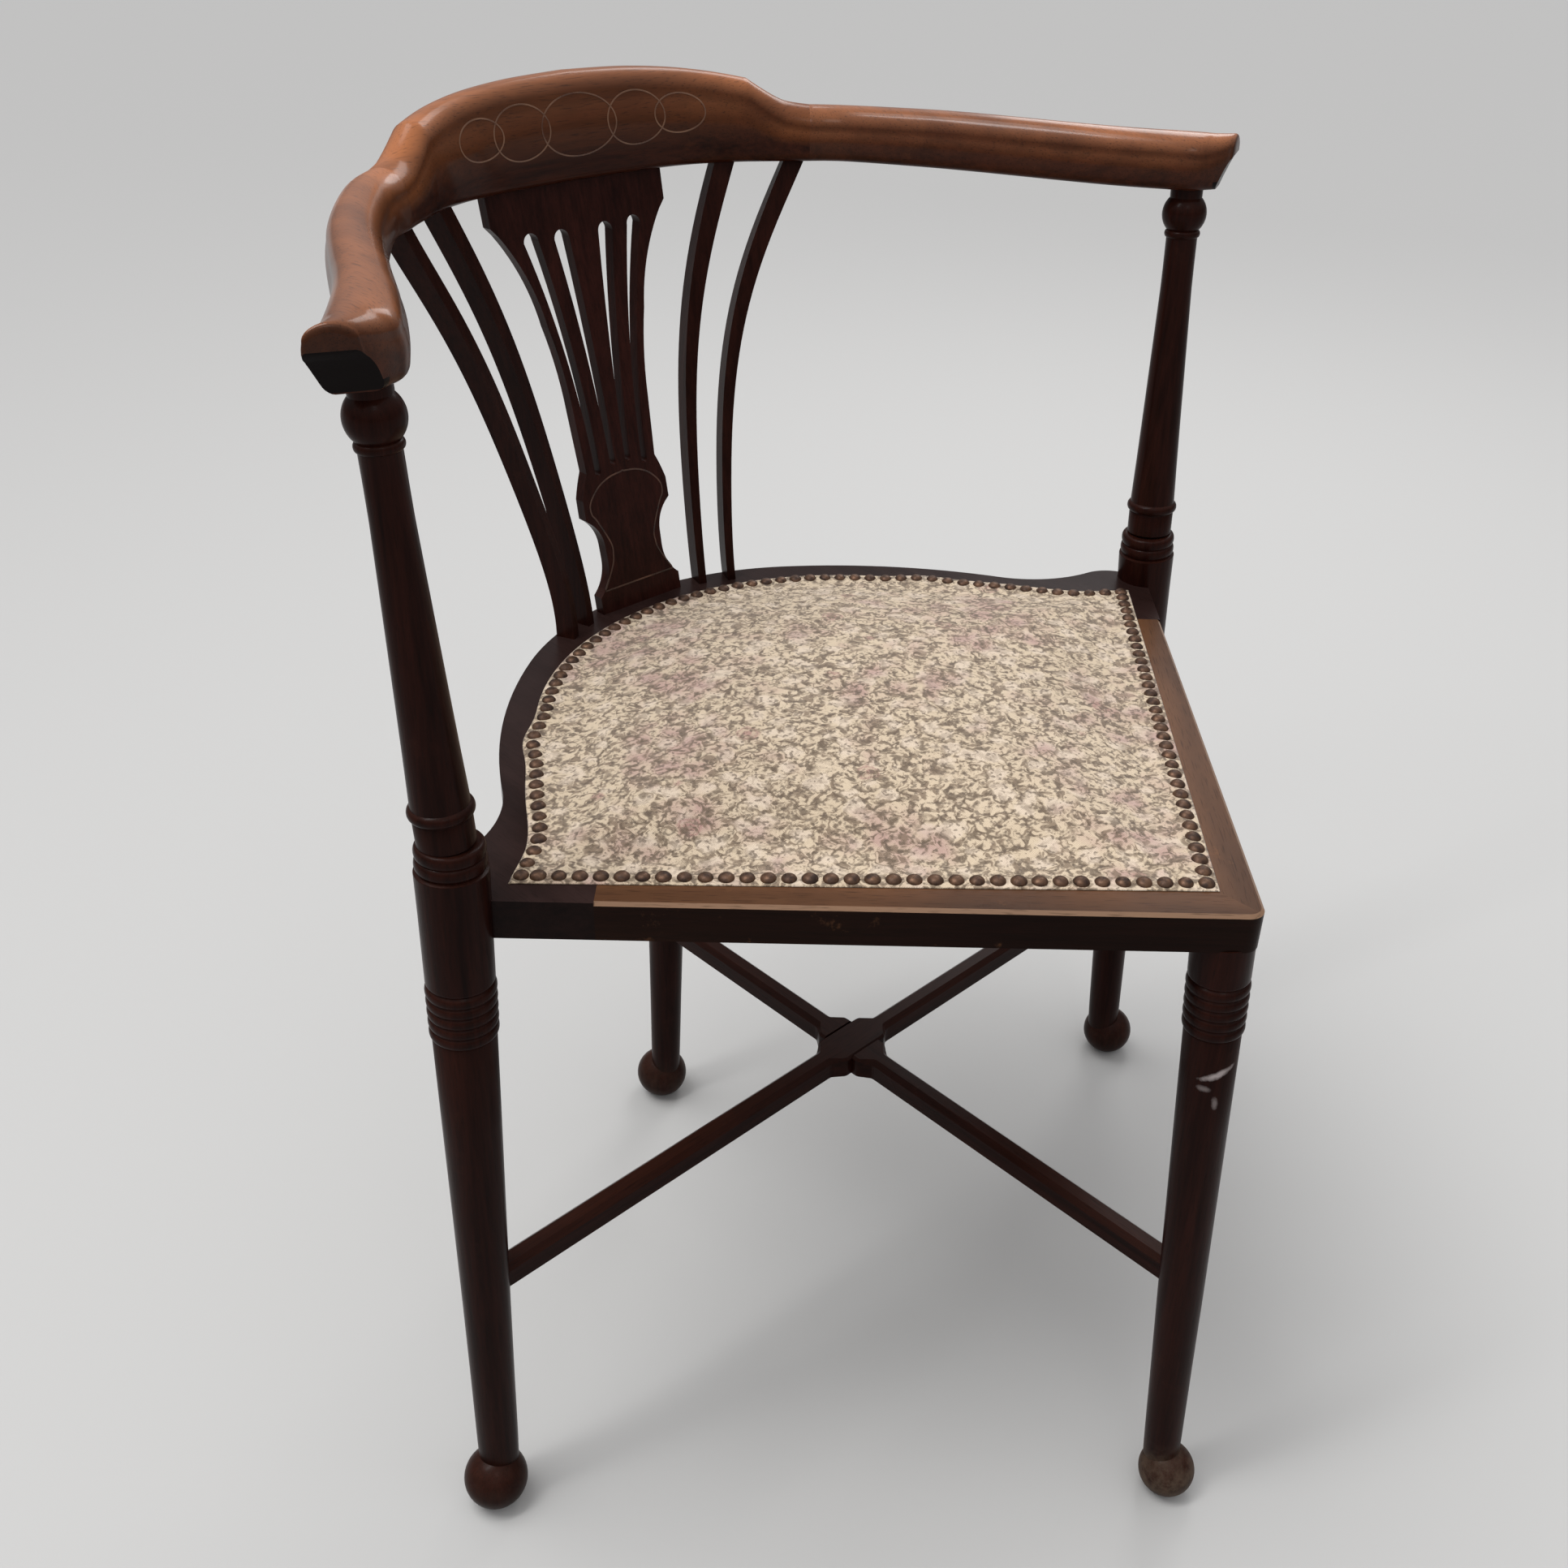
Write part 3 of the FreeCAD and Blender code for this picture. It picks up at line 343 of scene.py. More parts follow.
marks = [((-0.0140, -0.2500, 0.3272), (-0.0030, -0.2590, 0.3345), 0.0026, 0.95),
         ((-0.0142, -0.2500, 0.3215), (-0.0125, -0.2530, 0.3212), 0.0024, 0.35),
         ((-0.0095, -0.2570, 0.3150), (-0.0088, -0.2576, 0.3095), 0.0020, 0.40)]
for side, along, lean, foot_radius, marks, dust in (("front", -249.3, -28.7, 16.85, marks, 0.7),
                                                    ("back", 178.7, 18.9, 19.2, [], 0.15)):
    wood = scuffed("mahogany_leg_" + side, marks, dust)
    turned_leg("leg_" + side, Vector((0, along, AXIS_LEVEL)), Vector((0, lean, 0)), 11.0, 12.7, 14.9, 15.2,
               plain_top, foot_radius, wood)

# ---------------------------------------------------------------- cross stretcher
# Two mahogany bars halved into each other under the seat and tenoned into the four legs. Each is chamfered on top and
# widens to a block at the crossing, whose corners sweep back into the bar.
crossing_wood_x = mahogany("mahogany_bar_x", "X", *NEAR_BLACK, 0.5, 0.25, 0.03, gloss=0.04)
crossing_wood_y = mahogany("mahogany_bar_y", "Y", *NEAR_BLACK, 0.5, 0.25, 0.03, gloss=0.04)
CROSSING, BAR_LEVEL, BAR_HALF = -3.0, 175.0, 7.5
BAR_CHAMFER, BLOCK_CHAMFER, LAP_CHAMFER = 3.2, 1.6, 0.05
BLOCK = ((16.0, 13.0), (17.2, 12.9), (18.4, 12.4), (24.6, 7.9), (25.8, 7.2), (27.6, 7.0))


def bar_ring(along, half, low, high, chamfer, axis):
    """Section of a bar at a distance along it, counted from the crossing."""
    soft = 0.7
    across = [(-half + soft, low), (half - soft, low), (half, low + soft), (half, high - chamfer),
              (half - chamfer, high), (chamfer - half, high), (-half, high - chamfer), (-half, low + soft)]
    if axis == 0:
        return [Vector((along, CROSSING + SHIFT - x, z)) * MM for x, z in across]
    return [Vector((x, along + CROSSING + SHIFT, z)) * MM for x, z in across]


def skin(rings):
    """Vertices and faces through rings, closed at both ends."""
    count = len(rings[0])
    faces = [(a, d, c, b) for a, b, c, d in wall(len(rings), count)]
    faces.append(list(range(count)))
    faces.append([(len(rings) - 1) * count + number for number in reversed(range(count))])
    return [point for ring in rings for point in ring], faces


for name, axis, ends, wood in (("stretcher_side", 0, (-287.0, 287.0), crossing_wood_x),
                               ("stretcher_front_back", 1, (-258.0, 192.0), crossing_wood_y)):
    keep = (BAR_LEVEL - BAR_HALF, BAR_LEVEL) if axis else (BAR_LEVEL, BAR_LEVEL + BAR_HALF)
    spots = [(ends[0], 7.0, 0)] + [(-along, half, 0) for along, half in reversed(BLOCK)]
    spots += [(-13.05, 13.0, 0), (-13.0, 13.0, 1), (13.0, 13.0, 1), (13.05, 13.0, 0)]
    spots += [(along, half, 0) for along, half in BLOCK] + [(ends[1], 7.0, 0)]
    rings = []
    for along, half, halved in spots:
        low, high = keep if halved else (BAR_LEVEL - BAR_HALF, BAR_LEVEL + BAR_HALF)
        chamfer = BAR_CHAMFER if half < 8 else LAP_CHAMFER if halved and axis else BLOCK_CHAMFER
        rings.append(bar_ring(along, half, low, high, chamfer, axis))
    vertices, faces = skin(rings)
    bar = made(name + "_shaped", vertices, [face[::-1] for face in faces], wood)
    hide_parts(name)

# ---------------------------------------------------------------- seat frame
# Four mahogany parts, darkened by age: two straight front rails mitred at the front leg and two curved back rails
# that meet in the middle of the back, all held to each other and to the side legs by beech dowels.
def dress(name, material):
    """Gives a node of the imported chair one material."""
    node = nodes[name]
    node.data.materials.clear()
    node.data.materials.append(material)


FRONT_TURN = math.atan(0.98)
FRAME = ((0.0035, 0.0012, 0.0009), (0.0120, 0.0036, 0.0024), (0.250, 0.112, 0.052))
BACK_FRAME = ((0.0035, 0.0014, 0.0012), (0.0120, 0.0046, 0.0036), (0.032, 0.017, 0.015))
back_wood = mahogany("mahogany_back_rail", "Y", *BACK_FRAME, 0.8, 0.15, 0.03, gloss=0.05)
# The front rails get a painted highlight, with some bare wear, along their rolled top edge.
for side, turn in (("right", FRONT_TURN), ("left", -FRONT_TURN)):
    dress("rail_front_" + side,
          mahogany("mahogany_front_" + side, "X", *FRAME, 0.60, 0.55, 0.02, turn, gloss=0.04, edge=0.6))
    dress("rail_back_" + side, back_wood)
BEECH = ((0.30, 0.20, 0.12), (0.46, 0.33, 0.21), (0.46, 0.33, 0.21))
dowel_beech = mahogany("dowel_beech", "X", *BEECH, 0.0, 0.1, 0.0)
dress("frame_dowels", dowel_beech)

# ---------------------------------------------------------------- arm posts
# Two turned mahogany posts with a collar, a neck ring and a ball. Each stands on its side leg with a dowel, leans
# back and outward, and carries its arm on a round tenon.
BALL_LEVEL, BALL_RADIUS = 669.3, 13.5
post_outline = [(463.6, 13.6), (464.1, 14.4), (478.2, 14.4), (478.7, 14.1), (479.1, 14.2)]
post_outline += bead(479.2, 484.9, 14.3, 1.9)
post_outline += [(485.2, 14.3), (498.0, 13.8), (512.0, 13.25), (540.0, 12.3), (570.0, 11.35), (600.0, 10.4),
                 (625.0, 9.65), (640.0, 9.5), (655.0, 9.5), (655.4, 9.6)]
post_outline += bead(655.5, 659.8, 9.5, 1.4) + [(659.9, 9.6)]
for number in range(17):
    angle = -0.78 + 1.56 * number / 16
    post_outline.append((BALL_LEVEL + BALL_RADIUS * math.sin(angle), BALL_RADIUS * math.cos(angle)))
post_outline += [(679.4, 9.7), (684.9, 9.8)]
lean = Vector((6.0, 13.1, 286.0))
for side, sign in SIDES:
    base = side_axis - lean * (AXIS_LEVEL / lean.z)
    base = Vector((base.x * sign, base.y + SHIFT, 0))
    direction = Vector((lean.x * sign, lean.y, lean.z))
    stretch = lean.length / lean.z
    vertices, faces = [], []
    lathed(vertices, faces, [(height * stretch, radius) for height, radius in post_outline], base, direction)
    post = made(f"post_{side}_turned", vertices, faces, upright_wood, smooth_angle=42)
    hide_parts("post_" + side)

# ---------------------------------------------------------------- splat and spindles
# A pierced splat and four flat bent bars of mahogany, let into sockets of the back rail and the crest rail. A fine
# light string is let into the front of the splat, round its lower panel.
SPLAT = ((0.0080, 0.0022, 0.0017), (0.0380, 0.0098, 0.0070), (0.060, 0.019, 0.012))
dress("splat", mahogany("mahogany_splat", "Z", *SPLAT, 0.3, 0.2, 0.05, gloss=0.06))
for name in ("spindle_left_outer", "spindle_left_inner", "spindle_right_inner", "spindle_right_outer"):
    dress(name, upright_wood)


def string_wood(name, dull, bright):
    """Fine inlaid string, light where the polish is worn and dull where it has darkened."""
    material, tree = new_finish(name)
    worn = tree.ramp(tree.noise(tree.place(), 70.0, 4.0), 0.35, 0.62)
    tree.shade(Base_Color=tree.blend(worn, dull + (1,), bright + (1,)), Roughness=tree.scaled(worn, 0.15, 0.25))
    return material


def string_line(vertices, faces, spots, half):
    """Adds a closed strip along points with normals, in metres, a hair above the wood it is let into."""
    first = len(vertices)
    total = len(spots)
    for number, (point, normal) in enumerate(spots):
        side = normal.cross(spots[(number + 1) % total][0] - spots[number - 1][0]).normalized() * half
        for across, height in ((-1, -0.0004), (-1, 0.0002), (1, 0.0002), (1, -0.0004)):
            vertices.append(point + side * across + normal * height)
    for number in range(total):
        a, b = first + number * 4, first + (number + 1) % total * 4
        for corner in range(4):
            after = (corner + 1) % 4
            faces.append((a + corner, a + after, b + after, b + corner))


SLOPE = 0.194  # how far the splat leans back for its height
SPLAT_FRONT, SPLAT_FOOT = 201.4, 422.0  # how far back its front lies, and at what height
facing_front = Vector((0, -1, SLOPE)).normalized()
panel = [(28.0, 446.0), (28.4, 444.6), (19.6, 459.0), (17.6, 466.0), (18.0, 474.0), (25.6, 489.6), (29.0, 495.0),
         (28.4, 502.0), (20.8, 510.0), (11.0, 514.4), (0.0, 515.8)]
half_line = []
for number in range(1, len(panel) - 1):
    before, a, b = [Vector(spot) for spot in panel[number - 1:number + 2]]
    after = Vector(panel[min(number + 2, len(panel) - 1)])
    for step in range(6):
        t = step / 6
        half_line.append((2 * a + (b - before) * t + (2 * before - 5 * a + 4 * b - after) * t * t
                          + (3 * a - before - 3 * b + after) * t * t * t) / 2)
outline = half_line + [Vector((0.0, 516.2))] + [Vector((-p.x, p.y)) for p in reversed(half_line)]
spots = []
for p in outline:
    spots.append((Vector((p.x, SPLAT_FRONT + SHIFT + SLOPE * (p.y - SPLAT_FOOT), p.y)) * MM, facing_front))
vertices, faces = [], []
string_line(vertices, faces, spots, 0.0005)
splat_inlay = made("splat_inlay", vertices, faces,
                   string_wood("splat_string", (0.022, 0.009, 0.006), (0.105, 0.045, 0.026)))

# ---------------------------------------------------------------- crest rail
# Polished mahogany, sawn and carved from the solid: a low hump over the splat and an ear at each end, joined to the
# arm with two dowels. Five oval strings are let into its front.
POLISHED = ((0.0110, 0.0024, 0.0013), (0.0540, 0.0135, 0.0056), (0.365, 0.125, 0.043))
# The crest's top is lighter with height and on faces that look up: partly faded wood, partly painted top light.
crest_wood = mahogany("mahogany_crest", "X", *POLISHED, 0.95, 0.10, 0.55, 0.0, (0.700, 0.755, 0.42), 0.06)
EDGE_ROUND = 5.0


def moulding(x, y, way_x, way_y, width, bottom, top, crown, bulge):
    """Ring of points across the crest or an arm: flat below, bulging sides, rolled over on top."""
    out = Vector((way_y, -way_x, 0)).normalized()
    half = width / 2
    shoulder = top - crown
    side = half - bulge
    roll = side - half * 0.06
    spots = []
    for number in range(6):
        angle = math.pi / 2 * number / 5
        spots.append((side - EDGE_ROUND + EDGE_ROUND * math.sin(angle), bottom + EDGE_ROUND * (1 - math.cos(angle))))
    low = bottom + EDGE_ROUND
    for number in range(1, 8):
        share = number / 8
        bow = bulge * math.sin(math.pi * share)
        spots.append((side + (roll - side) * share + bow, low + (shoulder - low) * share))
    for number in range(12):
        angle = math.pi / 2 * number / 12
        spots.append((roll * math.cos(angle), shoulder + crown * math.sin(angle)))
    ring = spots + [(0, top)] + [(-across, height) for across, height in reversed(spots)]
    return [(Vector((x, y + SHIFT, 0)) + out * across + Vector((0, 0, height))) * MM for across, height in ring]


def eased(stations):
    """The stations with seven more between each two, on a smooth curve through them."""
    for _ in range(3):
        closer = [stations[0]]
        for number, (first, second) in enumerate(zip(stations, stations[1:])):
            before = stations[number - 1] if number else [2 * a - b for a, b in zip(first, second)]
            after = [2 * b - a for a, b in zip(first, second)]
            if number + 2 < len(stations):
                after = stations[number + 2]
            closer.append(tuple((9 * (b + c) - a - d) / 16 for a, b, c, d in zip(before, first, second, after)))
            closer.append(second)
        stations = closer
    return stations


# Stations of a moulding: place and way of its section, width, underside, top, height of the rolled top, side bulge.
LOW = 688.6
EAR = (121.0, 234.8, 0.84, -0.54, 28.0, LOW, 736.5, 12.0, 1.8)
ARM_JOINT = (154.0, 212.0, 0.76, -0.65, 30.0, LOW, 720.6, 13.0, 1.0)
crest_half = [
    (0.0, 260.0, 1.0, 0.0, 28.6, LOW, 748.8, 13.0, 3.0),
    (40.0, 258.3, 0.994, -0.11, 28.6, LOW, 747.6, 13.0, 3.0),
    (75.0, 253.8, 0.97, -0.24, 28.6, LOW, 744.6, 12.8, 3.0),
    (102.0, 245.0, 0.91, -0.41, 28.2, LOW, 740.6, 12.4, 2.4),
    EAR,
]
ear_end = [
    EAR,
    (131.2, 228.0, 0.81, -0.59, 28.6, LOW, 729.0, 12.4, 1.5),
    (141.6, 221.2, 0.79, -0.62, 29.2, LOW, 723.0, 12.8, 1.2),
    ARM_JOINT,
]
crest_half = eased(crest_half) + eased(ear_end)[1:]
crest_left = [(-s[0], s[1], s[2], -s[3]) + tuple(s[4:]) for s in reversed(crest_half[1:])]
crest_rings = [moulding(*station) for station in crest_left + crest_half]
crest = made("crest_moulded", *skin(crest_rings), crest_wood, smooth_angle=38)
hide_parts("crest_rail")

OVAL_LEVEL, OVAL_POINTS = 720.5, 160
crest_tree = BVHTree.FromObject(crest, bpy.context.evaluated_depsgraph_get())
vertices, faces = [], []
for middle, wide, tall in ((0.0, 27.0, 17.0), (41.5, 20.5, 15.0), (-41.5, 20.5, 15.0), (72.0, 17.0, 11.0),
                           (-72.0, 17.0, 11.0)):
    spots = []
    for number in range(OVAL_POINTS):
        angle = 2 * math.pi * number / OVAL_POINTS
        start = Vector((middle + wide * math.cos(angle), 100.0, OVAL_LEVEL + tall * math.sin(angle))) * MM
        point, normal = crest_tree.ray_cast(start, Vector((0, 1, 0)))[:2]
        spots.append((point, normal))
    string_line(vertices, faces, spots, 0.00042)
crest_inlay = made("crest_inlay", vertices, faces,
                   string_wood("crest_string", (0.085, 0.034, 0.018), (0.200, 0.098, 0.052)))

# ---------------------------------------------------------------- arms
# Polished mahogany arms, dowelled to the ears of the crest and stuck on the tenons of the posts. Each widens over its
# post and ends in a slanted hand, hollowed by a cove under its nose.
# The arm's top is lighter with height and on faces that look up: partly faded wood, partly painted top light.
arm_wood = mahogany("mahogany_arm", "Y", *POLISHED, 0.95, 0.15, 0.45, 0.0, (0.688, 0.720, 0.30), 0.08)
dress("arm_dowels", dowel_beech)

# Painted shade on the sunk ends of the hands: almost black and with little coat in the cove under the nose, and partly
# on the nose's end face.
tree = Shading(arm_wood.node_tree)
painted_shade = tree.node("ShaderNodeAttribute", attribute_name="painted_shade").outputs["Fac"]
worn, polish = [tree.principled()[label].links[0].from_socket for label in ("Base Color", "Coat Weight")]
tree.shade(Base_Color=tree.blend(painted_shade, worn, (0.0035, 0.0016, 0.0014, 1)),
           Coat_Weight=tree.times(polish, tree.math("SUBTRACT", 1.0, painted_shade)))


def fitted(thing, **settings):
    """Gives a thing's properties their values, and returns the thing."""
    for key, value in settings.items():
        setattr(thing, key, value)
    return thing


def settled(piece):
    """Makes what the modifiers give the piece's own mesh, and returns it."""
    shaped = bpy.data.meshes.new_from_object(piece.evaluated_get(bpy.context.evaluated_depsgraph_get()))
    piece.modifiers.clear()
    piece.data = shaped
    return shaped


POST_HEAD = Vector((285.1, 13.9, 0))
HAND_END = Vector((0.42, -0.908, 0)).normalized()
HAND_OUT = Vector((-HAND_END.y, HAND_END.x, 0))
HAND_LOW = 685.0
# In metres: the underside of the nose above the cove, and how the outer side of the hand is drawn in below it.
LIP, DRAWN_FROM, DRAWN_OVER = 0.7042, 0.010, 0.005
DRAWN_IN, DRAWN_DEEP, HAND_HALF = 0.0055, 0.020, 0.0265


def on_hand(distance, inner, outer, top, crown):
    """Section of the hand parallel to its end, from its inner to its outer side."""
    point = POST_HEAD + HAND_END * distance + HAND_OUT * ((inner + outer) / 2)
    return (point.x, point.y, HAND_END.x, HAND_END.y, outer - inner, HAND_LOW, top, crown, 1.0)


arm_stations = [
    ARM_JOINT,
    (174.0, 195.5, 0.74, -0.67, 30.0, LOW - 0.4, 720.0, 13.0, 1.0),
    (211.5, 143.0, 0.48, -0.88, 30.0, LOW - 1.8, 719.4, 13.0, 1.0),
    (244.3, 81.4, 0.47, -0.88, 30.0, LOW - 3.2, 717.8, 13.0, 1.0),
    (263.0, 47.5, 0.47, -0.88, 33.0, HAND_LOW, 717.0, 12.5, 1.0),
    on_hand(0, -18.5, 18.5, 716.4, 12.0),
    on_hand(11, -13.0, 21.5, 715.6, 11.5),
    on_hand(20, -4.0, 24.5, 715.2, 8.6),
    on_hand(22.9, 0.2, 26.2, 714.9, 7.0),
    on_hand(24.3, 2.0, 25.9, 713.6, 6.2),
    on_hand(24.9, 4.2, 24.6, 711.4, 5.0),
]
cove = [(24.8, 704.2), (23.9, 702.6), (22.4, 700.2), (20.9, 696.6), (19.5, 692.6), (18.2, 688.8), (17.3, 685.6),
        (17.0, 675.0), (60.0, 675.0), (60.0, 704.2)]
arm_rings = [moulding(*station) for station in eased(arm_stations)]
for side, sign in SIDES:
    rings = [[Vector((p.x * sign, p.y, p.z)) for p in ring] for ring in arm_rings]
    if sign < 0:
        rings = [list(reversed(ring)) for ring in rings]
    arm = made(f"arm_{side}_moulded", *skin(rings), arm_wood, smooth_angle=38)
    rings = []
    for reach in (-60, 60):
        ring = []
        for distance, height in cove:
            point = POST_HEAD + HAND_END * distance + HAND_OUT * reach
            ring.append(Vector((point.x * sign, point.y + SHIFT, height)) * MM)
        rings.append(ring if sign > 0 else list(reversed(ring)))
    cutter = made("cove_cutter", *skin(rings), arm_wood)
    fitted(arm.modifiers.new("cove", "BOOLEAN"), operation="DIFFERENCE", solver="EXACT", object=cutter)
    fitted(arm.modifiers.new("soft_edge", "BEVEL"), width=0.0018, segments=3, limit_method="ANGLE",
           angle_limit=math.radians(38))
    bpy.context.view_layer.update()
    shaped = settled(arm)
    smoothed(shaped, 40)
    bpy.data.objects.remove(cutter)
    head = Vector((POST_HEAD.x * sign, POST_HEAD.y + SHIFT, 0)) * MM
    end = Vector((HAND_END.x * sign, HAND_END.y, 0)).normalized()
    out = Vector((HAND_OUT.x * sign, HAND_OUT.y, 0)).normalized()
    for vertex in shaped.vertices:
        away = vertex.co - head
        if vertex.co.z < LIP and away.dot(end) > DRAWN_FROM:
            share = min(1.0, (away.dot(end) - DRAWN_FROM) / DRAWN_OVER) * max(0.0, away.dot(out)) / HAND_HALF
            vertex.co -= out * (DRAWN_IN * share * (LIP - vertex.co.z) / DRAWN_DEEP)
    # Share of painted shade for each face: full in the cove under the nose, part on the end face of the nose.
    shade_shares = []
    for face in shaped.polygons:
        reach = (face.center - head).dot(end)
        if face.normal.dot(end) <= 0.5:
            shade_shares.append(0.0)
        elif face.center.z < 0.7040 and reach > 0.0158 and face.normal.z < -0.1:
            shade_shares.append(1.0)
        else:
            shade_shares.append(0.35 if reach > 0.0238 else 0.0)
    shaped.attributes.new("painted_shade", "FLOAT", "FACE").data.foreach_set("value", shade_shares)
    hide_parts("arm_" + side)

# ---------------------------------------------------------------- webbing
# Ten straps of jute webbing go over and under each other, five each way, and are tacked on the ledge inside the
# frame. The outline of the seat, which all the upholstery follows, is set out first.
FRONT, CORNER = Vector((0, -237.4)), Vector((247.0, -2.5))
ARC_CENTRE, ARC_RADIUS = Vector((0, 6.5)), 180.0
PITCHES = (33, 16, 15)  # nails of the front, the back corner and the arc on one side


def side_swing(share):
    """How far the S of a side lies outside the straight line from the corner to the arc."""
    hollow = (share - 0.20) / (0.17 if share < 0.20 else 0.24)
    swell = (share - 0.79) / 0.115
    return 4.6 * math.exp(-swell * swell) - 7.6 * math.exp(-hollow * hollow)


def half_ring(inset, parts, bow):
    """Right half of the outline parallel to the nails, from the front to the middle of the back, with a number
    of points for each nail. The sides carry a slight S, which dies out toward the middle of the seat."""
    way = (CORNER - FRONT).normalized()
    inward = Vector((-way.y, way.x))
    front = FRONT + Vector((0, inset / inward.y))
    reach = CORNER - ARC_CENTRE
    angle = math.atan2(reach.y, reach.x) + math.acos(ARC_RADIUS / reach.length)
    out = Vector((math.cos(angle), math.sin(angle)))
    touch = ARC_CENTRE + out * (ARC_RADIUS - inset)
    along = Vector((out.y, -out.x))
    corner = touch + along * ((touch - front).dot(inward) / -along.dot(inward))
    points = []
    for edge, pitches in enumerate(PITCHES):
        for number in range(pitches * parts):
            share = number / (pitches * parts)
            if edge == 0:
                point = front.lerp(corner, share)
            elif edge == 1:
                point = corner.lerp(touch, share) + out * (bow * side_swing(share))
            else:
                turn = angle + (math.pi / 2 - angle) * share
                spoke = Vector((math.cos(turn), math.sin(turn)))
                point = ARC_CENTRE + spoke * (ARC_RADIUS - inset + bow * side_swing(1 + share))
            points.append(point)
    points.append(ARC_CENTRE + Vector((0, ARC_RADIUS - inset)))
    return points


def full_ring(inset, parts=1, bow=0.0):
    """The outline all the way round, starting at the front."""
    half = half_ring(inset, parts, bow)
    return half + [Vector((-p.x, p.y)) for p in reversed(half[1:-1])]


def placed(ring, height):
    """Points of a ring at a height in the frame, in metres."""
    return [Vector((p.x, p.y + SHIFT, height)) * MM for p in ring]


def upholstery(name):
    """New material of the upholstery, the words for its tree, and the place on the piece."""
    material, tree = new_finish(name)
    return material, tree, tree.place()


def weave_of(tree, place, pitch):
    """Height of a plain weave with threads a pitch apart, from 0 to 1."""
    parts = tree.node("ShaderNodeSeparateXYZ", Vector=place).outputs
    waves = [tree.scaled(tree.math("SINE", tree.times(parts[axis], 2 * math.pi / pitch)), 0.5, 0.5)
             for axis in ("X", "Y")]
    return tree.times(tree.math("ADD", *waves), 0.5)


def coarse_weave(name, pitch, patches, dark, light, thread_share, thread_colour, relief):
    """Unbleached cloth of thick threads a pitch apart, in uneven patches of colour."""
    material, tree, place = upholstery(name)
    threads = weave_of(tree, place, pitch)
    colour = tree.blend(tree.noise(place, *patches), dark, light)
    colour = tree.blend(tree.times(threads, thread_share), colour, thread_colour)
    tree.shade(Base_Color=colour, Roughness=0.95, Normal=tree.bump(*relief, threads))
    return material


webbing_jute = coarse_weave("webbing_jute", 0.0022, (45.0, 4.0), (0.20, 0.125, 0.065, 1), (0.36, 0.25, 0.14, 1),
                            0.4, (0.09, 0.055, 0.03, 1), (0.7, 0.0008))
HALF_STRAP, STRAP_THICK, STRAP_ROWS = 25.0, 0.55, 90
STRAP_PITCH, STRAP_LEVEL, STRAP_WAVE = 82.0, 426.72, 0.28
SEAT_MIDDLE = -20.0  # the middle strap from side to side lies this far from the set-out point
ledge = full_ring(5.8)


def reach_across(fixed, axis):
    """Lowest and highest free coordinate where the ledge outline crosses a line of the other coordinate."""
    found = []
    for p, q in zip(ledge, ledge[1:] + ledge[:1]):
        if (p[axis] - fixed) * (q[axis] - fixed) <= 0 and p[axis] != q[axis]:
            share = (fixed - p[axis]) / (q[axis] - p[axis])
            found.append(p[1 - axis] + (q[1 - axis] - p[1 - axis]) * share)
    return min(found), max(found)


vertices, faces, strap_length = [], [], 0.0
for axis in (0, 1):
    for number in (-2, -1, 0, 1, 2):
        middle = number * STRAP_PITCH + (SEAT_MIDDLE if axis == 1 else 0.0)
        reaches = [reach_across(middle + side, axis) for side in (-HALF_STRAP, HALF_STRAP)]
        first = len(vertices)
        for row in range(STRAP_ROWS + 1):
            for side in range(2):
                low, high = reaches[side]
                along = low + (high - low) * row / STRAP_ROWS
                crossing = (along - (SEAT_MIDDLE if axis == 0 else 0.0)) / STRAP_PITCH
                over = math.cos(math.pi * crossing) * (1 if (number + axis) % 2 == 0 else -1)
                height = STRAP_LEVEL + STRAP_WAVE * over
                spot = (middle + (-HALF_STRAP, HALF_STRAP)[side], along)
                x, y = spot if axis == 0 else (spot[1], spot[0])
                for level in (-STRAP_THICK / 2, STRAP_THICK / 2):
                    vertices.append(Vector((x, y + SHIFT, height + level)) * MM)
        for row in range(STRAP_ROWS):
            a = first + row * 4
            b = a + 4
            faces += [(a, a + 2, b + 2, b), (a + 1, b + 1, b + 3, a + 3), (a, b, b + 1, a + 1),
                      (a + 2, a + 3, b + 3, b + 2)]
        last = first + STRAP_ROWS * 4
        faces += [(first, first + 1, first + 3, first + 2), (last, last + 2, last + 3, last + 1)]
        strap_length += sum(high - low for low, high in reaches) / 2
webbing = made("webbing_straps", vertices, faces, webbing_jute)
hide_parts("webbing")

# ---------------------------------------------------------------- hessian
# A square of hessian, an open plain weave of uneven threads, is strained over the webbing and tacked round its edge.
# It shows the straps through it as faint ridges.
hessian_weave = coarse_weave("hessian_weave", 0.0016, (160.0, 3.0), (0.17, 0.115, 0.06, 1), (0.31, 0.225, 0.13, 1),
                             0.5, (0.06, 0.04, 0.022, 1), (0.6, 0.0006))


def toward_middle(ring, share):
    """The ring drawn in to a share of its size about the middle of the seat."""
    return [p * share + Vector((0, -10)) * (1 - share) for p in ring]


def cloth_faces(rows, count):
    """Faces of a cloth laid in rows of points from its edge in, with one face in the middle."""
    return wall(rows, count) + [[(rows - 1) * count + number for number in range(count)]]


def thickened(cloth, thickness, offset):
    """Gives a cloth its thickness in metres, on both sides of its points (0) or below them (-1)."""
    fitted(cloth.modifiers.new("thickness", "SOLIDIFY"), thickness=thickness, offset=offset)
    settled(cloth)


